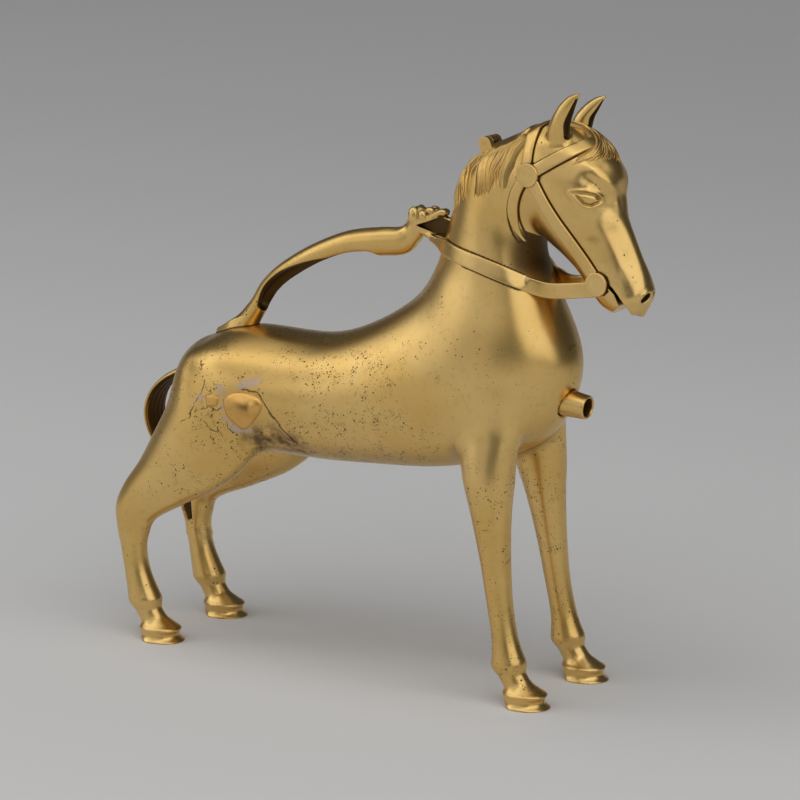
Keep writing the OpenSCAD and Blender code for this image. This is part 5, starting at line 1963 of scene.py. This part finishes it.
def grow(
    tree: bpy.types.NodeTree, lines: list[Array], thick: list[Array], size: float, corners: int, finish: Material
) -> Form:
    """Runs guide lines through the strand tree and reads back the mesh.

    Args:
        tree: The node group.
        lines: Guide lines in millimetres.
        thick: Relative thickness along each line.
        size: Strand radius in millimetres.
        corners: Corners of a strand's section.
        finish: The hair's finish.

    Returns:
        The strands as one surface.
    """
    edges, start = [], 0
    for line in lines:
        edges += [(start + i, start + i + 1) for i in range(len(line) - 1)]
        start += len(line)
    mesh = bpy.data.meshes.new("guides")
    mesh.from_pydata((np.vstack(lines) * MM).tolist(), edges, [])
    mesh.attributes.new("thick", "FLOAT", "POINT").data.foreach_set("value", np.concatenate(thick).astype(np.float32))
    holder = show(bpy.data.objects.new("guides", mesh))
    step = holder.modifiers.new("strands", "NODES")
    step.node_group = tree
    names = {item.name: item.identifier for item in tree.interface.items_tree if item.in_out == "INPUT"}
    step[names["Strand size"]], step[names["Corners"]], step[names["Finish"]] = size * MM, corners, finish
    made = bpy.data.meshes.new_from_object(holder.evaluated_get(bpy.context.evaluated_depsgraph_get()))
    bm = bmesh.new()
    bm.from_mesh(made)
    bmesh.ops.triangulate(bm, faces=bm.faces[:])
    bm.to_mesh(made)
    bm.free()
    co = np.zeros(len(made.vertices) * 3, np.float32)
    made.vertices.foreach_get("co", co)
    tri = np.zeros(len(made.polygons) * 3, np.int32)
    made.polygons.foreach_get("vertices", tri)
    holder.modifiers.clear()
    bpy.data.objects.remove(holder)
    bpy.data.meshes.remove(mesh)
    bpy.data.meshes.remove(made)
    return Form(co.reshape(-1, 3).astype(float) / MM, tri.reshape(-1, 3).astype(int)).outward()


@dataclass
class Hair:
    """Mane and forelock: a raised bed of hair with strands laid over it."""

    shell: Shell
    strand: float = 0.6
    per_gap: int = 6
    seed: int = 7
    mane_guides: tuple = (
        ((56, -4, 287), (51, -4.4, 278), (47.6, -6.6, 268), (46.4, -9.5, 262), (47.6, -12.4, 257.5)),
        ((60, -6, 290.5), (54, -7, 282), (50.5, -9.5, 273), (50, -13, 265.5), (51.5, -15.4, 259.5)),
        ((62.6, -7, 292), (55.5, -5.8, 283.2), (55.7, -10.3, 278.9), (57.1, -13.7, 273.7), (58.7, -16.3, 268.1),
         (57.6, -16.7, 262.7)),
        ((68.6, -7.8, 293.3), (66.7, -11.7, 287.5), (67.2, -14.7, 283), (68.1, -17.3, 277.3), (67.1, -18.3, 271.2),
         (66.1, -19, 266.3)),
        ((74.6, -9.2, 297.7), (69.8, -10.5, 290.9), (70.4, -14.5, 285.7), (71.6, -17.3, 279.7), (72.4, -18.9, 273.9),
         (71.7, -19.6, 267.8)),
        ((79.3, -9.9, 299.4), (74.9, -11.1, 292.6), (73.4, -14.7, 286.9), (74.1, -17.4, 280.8), (76, -18.9, 275),
         (77.8, -19.5, 270.4)),
        ((84.4, -9.8, 301.6), (80.8, -11.5, 294.8), (77.3, -15, 288.1), (75.9, -16.6, 284.5), (77.3, -18, 280.3),
         (79.8, -18.9, 275.8)),
        ((90.9, -11.2, 304.4), (86.4, -11.4, 297.3), (84.1, -15.4, 290.4), (81.3, -16.9, 285.4), (81.7, -18.2, 281.2),
         (81.1, -18.9, 276.7)),
        ((94.5, -11.6, 303), (88.6, -13.5, 295.8), (86.5, -16.2, 289.9), (84.1, -17.6, 284.2), (83.7, -18.9, 277),
         (84.3, -19, 269.7)),
    )
    fall_guides: tuple = (
        ((1, 5.5, -3), (4.5, 6, 0), (8.3, 5.3, 2.4), (15, -0.3, 7.4), (19.8, -5.2, 8.5), (21.9, -10.4, 6.4),
         (21.5, -14.7, 1.9), (21, -17.5, -2.9),
         (21.6, -18.8, -5.6)),
        ((3, 6.4, -2), (9.5, 6.6, 3.2), (16, 3.8, 7.1), (21.5, -4.1, 9.4), (24.1, -9.9, 7.7), (23.4, -13.9, 3.8),
         (23.3, -17.3, -0.9), (24, -18.6, -3.4)),
        ((4, 7, -1), (12, 6.6, 5), (18.5, 2.4, 8.8), (23.7, -1.3, 10.9), (27.5, -7, 10.6), (29, -10.6, 8.4)),
        ((4, 7.6, -1), (13, 7.2, 5.8), (19.5, 5.8, 8.8), (25.6, 4.9, 10.8), (29.6, -0.4, 12.5), (33.5, -3.6, 12)),
        ((4, 8.6, -1), (13, 9, 5.3), (19, 8.6, 8.4), (25, 8, 10.2), (31, 6, 12), (37, 4, 11)),
        ((4, 9.6, -2), (12, 10.6, 4.4), (19, 11.4, 7), (25, 11.4, 8), (31, 10, 9.6)),
        ((3, 10.6, -3), (11, 12.8, 2.6), (17, 14, 4.4), (22, 15.4, 4), (26, 15.6, 3)),
    )

    def lines(self, guides: Sequence, per_gap: int, points: int, seed: int) -> list[Array]:
        """Fills the gaps between guides with strands.

        Args:
            guides: Guide lines in order, each from root to tip.
            per_gap: Strands for each gap between neighbouring guides.
            points: Points along a strand.
            seed: Seed of the small irregularities.

        Returns:
            The strands' lines, unprojected.
        """
        rng = np.random.default_rng(seed)
        whole = np.array([along(g, points) for g in guides])
        out = []
        for f in np.linspace(0, len(guides) - 1, (len(guides) - 1) * per_gap + 1):
            f = float(np.clip(f + rng.uniform(-0.3, 0.3) / per_gap, 0, len(guides) - 1))
            i = min(int(f), len(guides) - 2)
            line = whole[i] * (1 - f + i) + whole[i + 1] * (f - i)
            keep = rng.uniform(0.86, 1.0)
            out.append(along(line[: max(int(points * keep), 8)], points))
        return out

    def build(self, material: Material) -> None:
        """Builds mane and forelock."""
        tree = HairTree().build()
        shape = np.linspace(0, 1, 28)
        taper = np.minimum(1.0, 0.6 + 3 * shape) * np.sqrt(np.clip(1.03 - shape**2.4, 0.02, 1))
        rng = np.random.default_rng(self.seed)
        head = [np.array([self.shell.hide.place(*p) for p in line]) for line in self.fall_guides]
        mane = [np.array(line, float) for line in self.mane_guides]
        for name, node, sides, lift in (
            ("mane_hair", "mane", (mane, [g * [1, -1, 1] for g in mane]), 1.7),
            ("forelock_hair", "forelock", (head,), 2.2),
        ):
            grid, level, form = self.bed(node, [g for guides in sides for g in guides], lift)
            strands, thick = [], []
            for k, guides in enumerate(sides):
                for line in self.lines(guides, self.per_gap, 28, self.seed + 3 * k + len(node)):
                    strands.append(grid.settle(level, line, rng.uniform(-0.15, 0.4), 6))
                    thick.append(taper * rng.uniform(0.75, 1.25))
            hair = grow(tree, strands, thick, self.strand, 7, material)
            make_piece(name, form.joined(hair), material, node)

    def bed(self, node: str, guides: list[Array], rise: float) -> tuple[Grid, Array, Form]:
        """Raises the hide under the strands, most along the guides and to nothing at the edge.

        Args:
            node: Mane or forelock.
            guides: Guide lines.
            rise: Greatest height.

        Returns:
            The samples, the field of the bed's upper side and the closed bed.
        """
        sh = self.shell
        if node == "mane":
            grid = Grid((38, -26, 250), (104, 26, 316), 0.55)
            hide = sh.hide.upper(grid, (9.0, 16.0), 5.0)
            u, _ = sh.crest(grid.x, grid.z)
            keep = np.maximum(-sh.oblong(u, grid.y, -0.5), 6.3 - np.maximum(np.abs(grid.y), -u - 3.0))
        else:
            grid = Grid((100, -26, 276), (150, 26, 322), 0.55)
            hide = sh.hide.upper(grid, (13.0, 16.0), 5.0)
            keep = np.full(hide.shape, -5.0, np.float32)
        index, p = grid.near(hide, 4.6)
        high = np.zeros(len(p))
        for line in guides:
            rows, off, share = trace(p, line, 3.9, 14)
            high[rows] = np.maximum(high[rows], ease(-off, -3.9, -1.6) * (1 - 0.95 * ease(share, 0.45, 0.95)))
        lift = np.full(hide.shape, -0.6, np.float32)
        lift[index] = -0.6 + (rise + 0.6) * high
        top = grid.soften(hide - lift, 1)
        form = grid.skin(np.maximum(np.maximum(top, -(hide + 0.8)), keep).astype(np.float32), 2.0)
        # painted shade on the bed between the strands
        form.darken(0.42)
        return grid, top, form


@dataclass
class Patches:
    """Repair plates let into the right haunch, the larger with a low conical knob."""

    shell: Shell
    large: tuple = (
        (-83.0, 146), (-78.6, 149.4), (-72, 151), (-63.8, 150), (-60, 146), (-62.6, 141), (-71, 131.8), (-75.6, 133.6),
        (-80.8, 138.6),
    )
    small: tuple = ((-96, 147), (-91.5, 148.8), (-87.2, 146.8), (-87.8, 142.6), (-94.8, 141.6))
    thick: float = 0.9

    def build(self, material: Material) -> None:
        """Builds both plates as one piece."""
        grid = Grid((-102, -46, 126), (-52, -24, 162), 0.4, 1.5)
        points = np.stack(np.meshgrid(grid.x.ravel(), grid.y.ravel(), grid.z.ravel(), indexing="ij"), -1).reshape(-1, 3)
        level = self.shell.trunk_grid.sample(self.shell.trunk_field, points).reshape(tuple(grid.count))
        x, z = np.broadcast_arrays(grid.x[:, 0, :], grid.z[:, 0, :])
        left = np.where(x < -66.0, 8.5, 3.0)
        knob = 3.4 * np.exp(-0.5 * (((x + 66.0) / left) ** 2 + ((z - 145.0) / 4.4) ** 2))[:, None, :]
        edge = polygon_level(x, z, along(self.large + self.large[:1], 40)[:-1].tolist())[:, None, :]
        plate = smooth_max(level - self.thick * 0.6 - knob, edge - 1.6, 2.2)
        other = smooth_max(level - self.thick * 0.5, polygon_level(x, z, self.small)[:, None, :] - 0.5, 1.0)
        form = grid.skin(np.maximum(grid.soften(np.minimum(plate, other), 4), -(level + 0.5)).astype(np.float32), 2.0)
        make_piece("repair_plates", form, material, "haunch_patches")


@dataclass
class Studio:
    """Camera, lamps, world and paper."""

    camera_at: Triple = (1.1681, -1.8050, 0.6338)
    aim: Triple = (0.00706, 0.0, 0.1501)
    lens: float = 180.9
    lamps: tuple = (
        ("key", (-0.75, -1.75, 1.9), (4.2, 2.6), 18.0),
        ("top", (-0.1, -0.45, 2.5), (3.6, 2.4), 19.0),
        ("front", (-1.4, -2.15, 0.5), (3.4, 1.0), 3.8),
        ("left", (-2.0, -1.4, 0.8), (1.7, 1.3), 2.2),
        ("side", (-2.2, -0.6, 1.45), (1.3, 1.3), 5.0),
        ("right", (2.05, -0.95, 1.5), (3.0, 2.6), 24.0),
    )

    def build(self) -> None:
        """Sets up the stage."""
        scene = bpy.context.scene
        scene.view_settings.view_transform = "Standard"
        camera = bpy.data.cameras.new("camera")
        camera.lens, camera.sensor_width, camera.sensor_fit = self.lens, 36.0, "HORIZONTAL"
        camera.clip_end = 100.0
        eye = bpy.data.objects.new("camera", camera)
        eye.location = self.camera_at
        eye.rotation_euler = (Vector(self.aim) - Vector(self.camera_at)).to_track_quat("-Z", "Y").to_euler()
        scene.camera = show(eye)
        for lamp in self.lamps:
            self.lamp(*lamp)
        self.room()
        self.paper()

    def lamp(self, name: str, at: Triple, size: tuple[float, float], watts: float) -> None:
        """Hangs a soft rectangular lamp that faces the vessel.

        Args:
            name: Its name.
            at: Its place in metres.
            size: Width and height in metres.
            watts: Its strength.
        """
        data = bpy.data.lights.new(name, "AREA")
        data.shape, data.size, data.size_y, data.energy = "RECTANGLE", size[0], size[1], watts
        lamp = bpy.data.objects.new(name, data)
        lamp.location = at
        lamp.rotation_euler = (Vector((0, 0, 0.17)) - Vector(at)).to_track_quat("-Z", "Y").to_euler()
        show(lamp)

    def room(self) -> None:
        """Gives the world an even, rather dim grey."""
        world = bpy.data.worlds.new("room")
        world.use_nodes = True
        world.node_tree.nodes["Background"].inputs[0].default_value = (0.3, 0.3, 0.31, 1)
        world.node_tree.nodes["Background"].inputs[1].default_value = 0.2
        bpy.context.scene.world = world

    def paper(self) -> None:
        """Lays the floor and its rising backdrop as one curved sheet."""
        profile = [(-6.0, 0.0), (3.2, 0.0)]
        profile += [(3.2 + 0.9 * math.sin(f), 0.9 - 0.9 * math.cos(f)) for f in np.linspace(0, math.pi / 2, 24)[1:]]
        away = Vector(self.aim) - Vector(self.camera_at)
        away.z = 0
        away.normalize()
        side = Vector((away.y, -away.x, 0))
        points, faces = [], []
        for d, z in profile:
            for s in (-6.0, 6.0):
                points.append(tuple(away * d + side * s + Vector((0, 0, z))))
        for i in range(len(profile) - 1):
            faces.append((2 * i, 2 * i + 1, 2 * i + 3, 2 * i + 2))
        mesh = bpy.data.meshes.new("paper")
        mesh.from_pydata(points, [], faces)
        mesh.polygons.foreach_set("use_smooth", [True] * len(faces))
        mesh.materials.append(Ground("paper").material())
        show(bpy.data.objects.new("paper", mesh))


def main() -> None:
    """Builds the vessel piece by piece, then the stage."""
    logging.basicConfig(level=logging.INFO, format="%(name)s %(relativeCreated)6d %(message)s")
    brass = Brass("cast_brass").material()
    shell = Shell(Hide())
    worn = Brass("worn_brass", pits=1.0, mended=Mending()).material()
    shell.trunk(worn)
    shell.neck(brass)
    shell.head(brass)
    Legs(shell).build(Brass("leg_brass", pits=0.6, zone=(-13.0, 0.0, 20.0), zone_reach=400.0).material(), worn)
    Ears(shell).build(brass)
    Handle(shell).build(brass)
    Tail(shell).build(brass)
    Bridle(shell).build(Brass("strap_brass", tone=(0.82, 0.56, 0.21), pits=0.3).material())
    Lid(shell).build(brass, Brass("pin_brass", tone=(0.6, 0.4, 0.15), rough=0.42).material())
    Spout().build(brass)
    # stronger painted shade for the hair
    Hair(shell).build(Brass("hair_brass", recess=1.1, pits=0.15).material())
    patch = Brass("patch_brass", tone=(0.80, 0.48, 0.135), warm=(0.76, 0.43, 0.11), pits=0.1, rough=0.33)
    Patches(shell).build(patch.material())
    Studio().build()


if __name__ == "__main__":
    main()
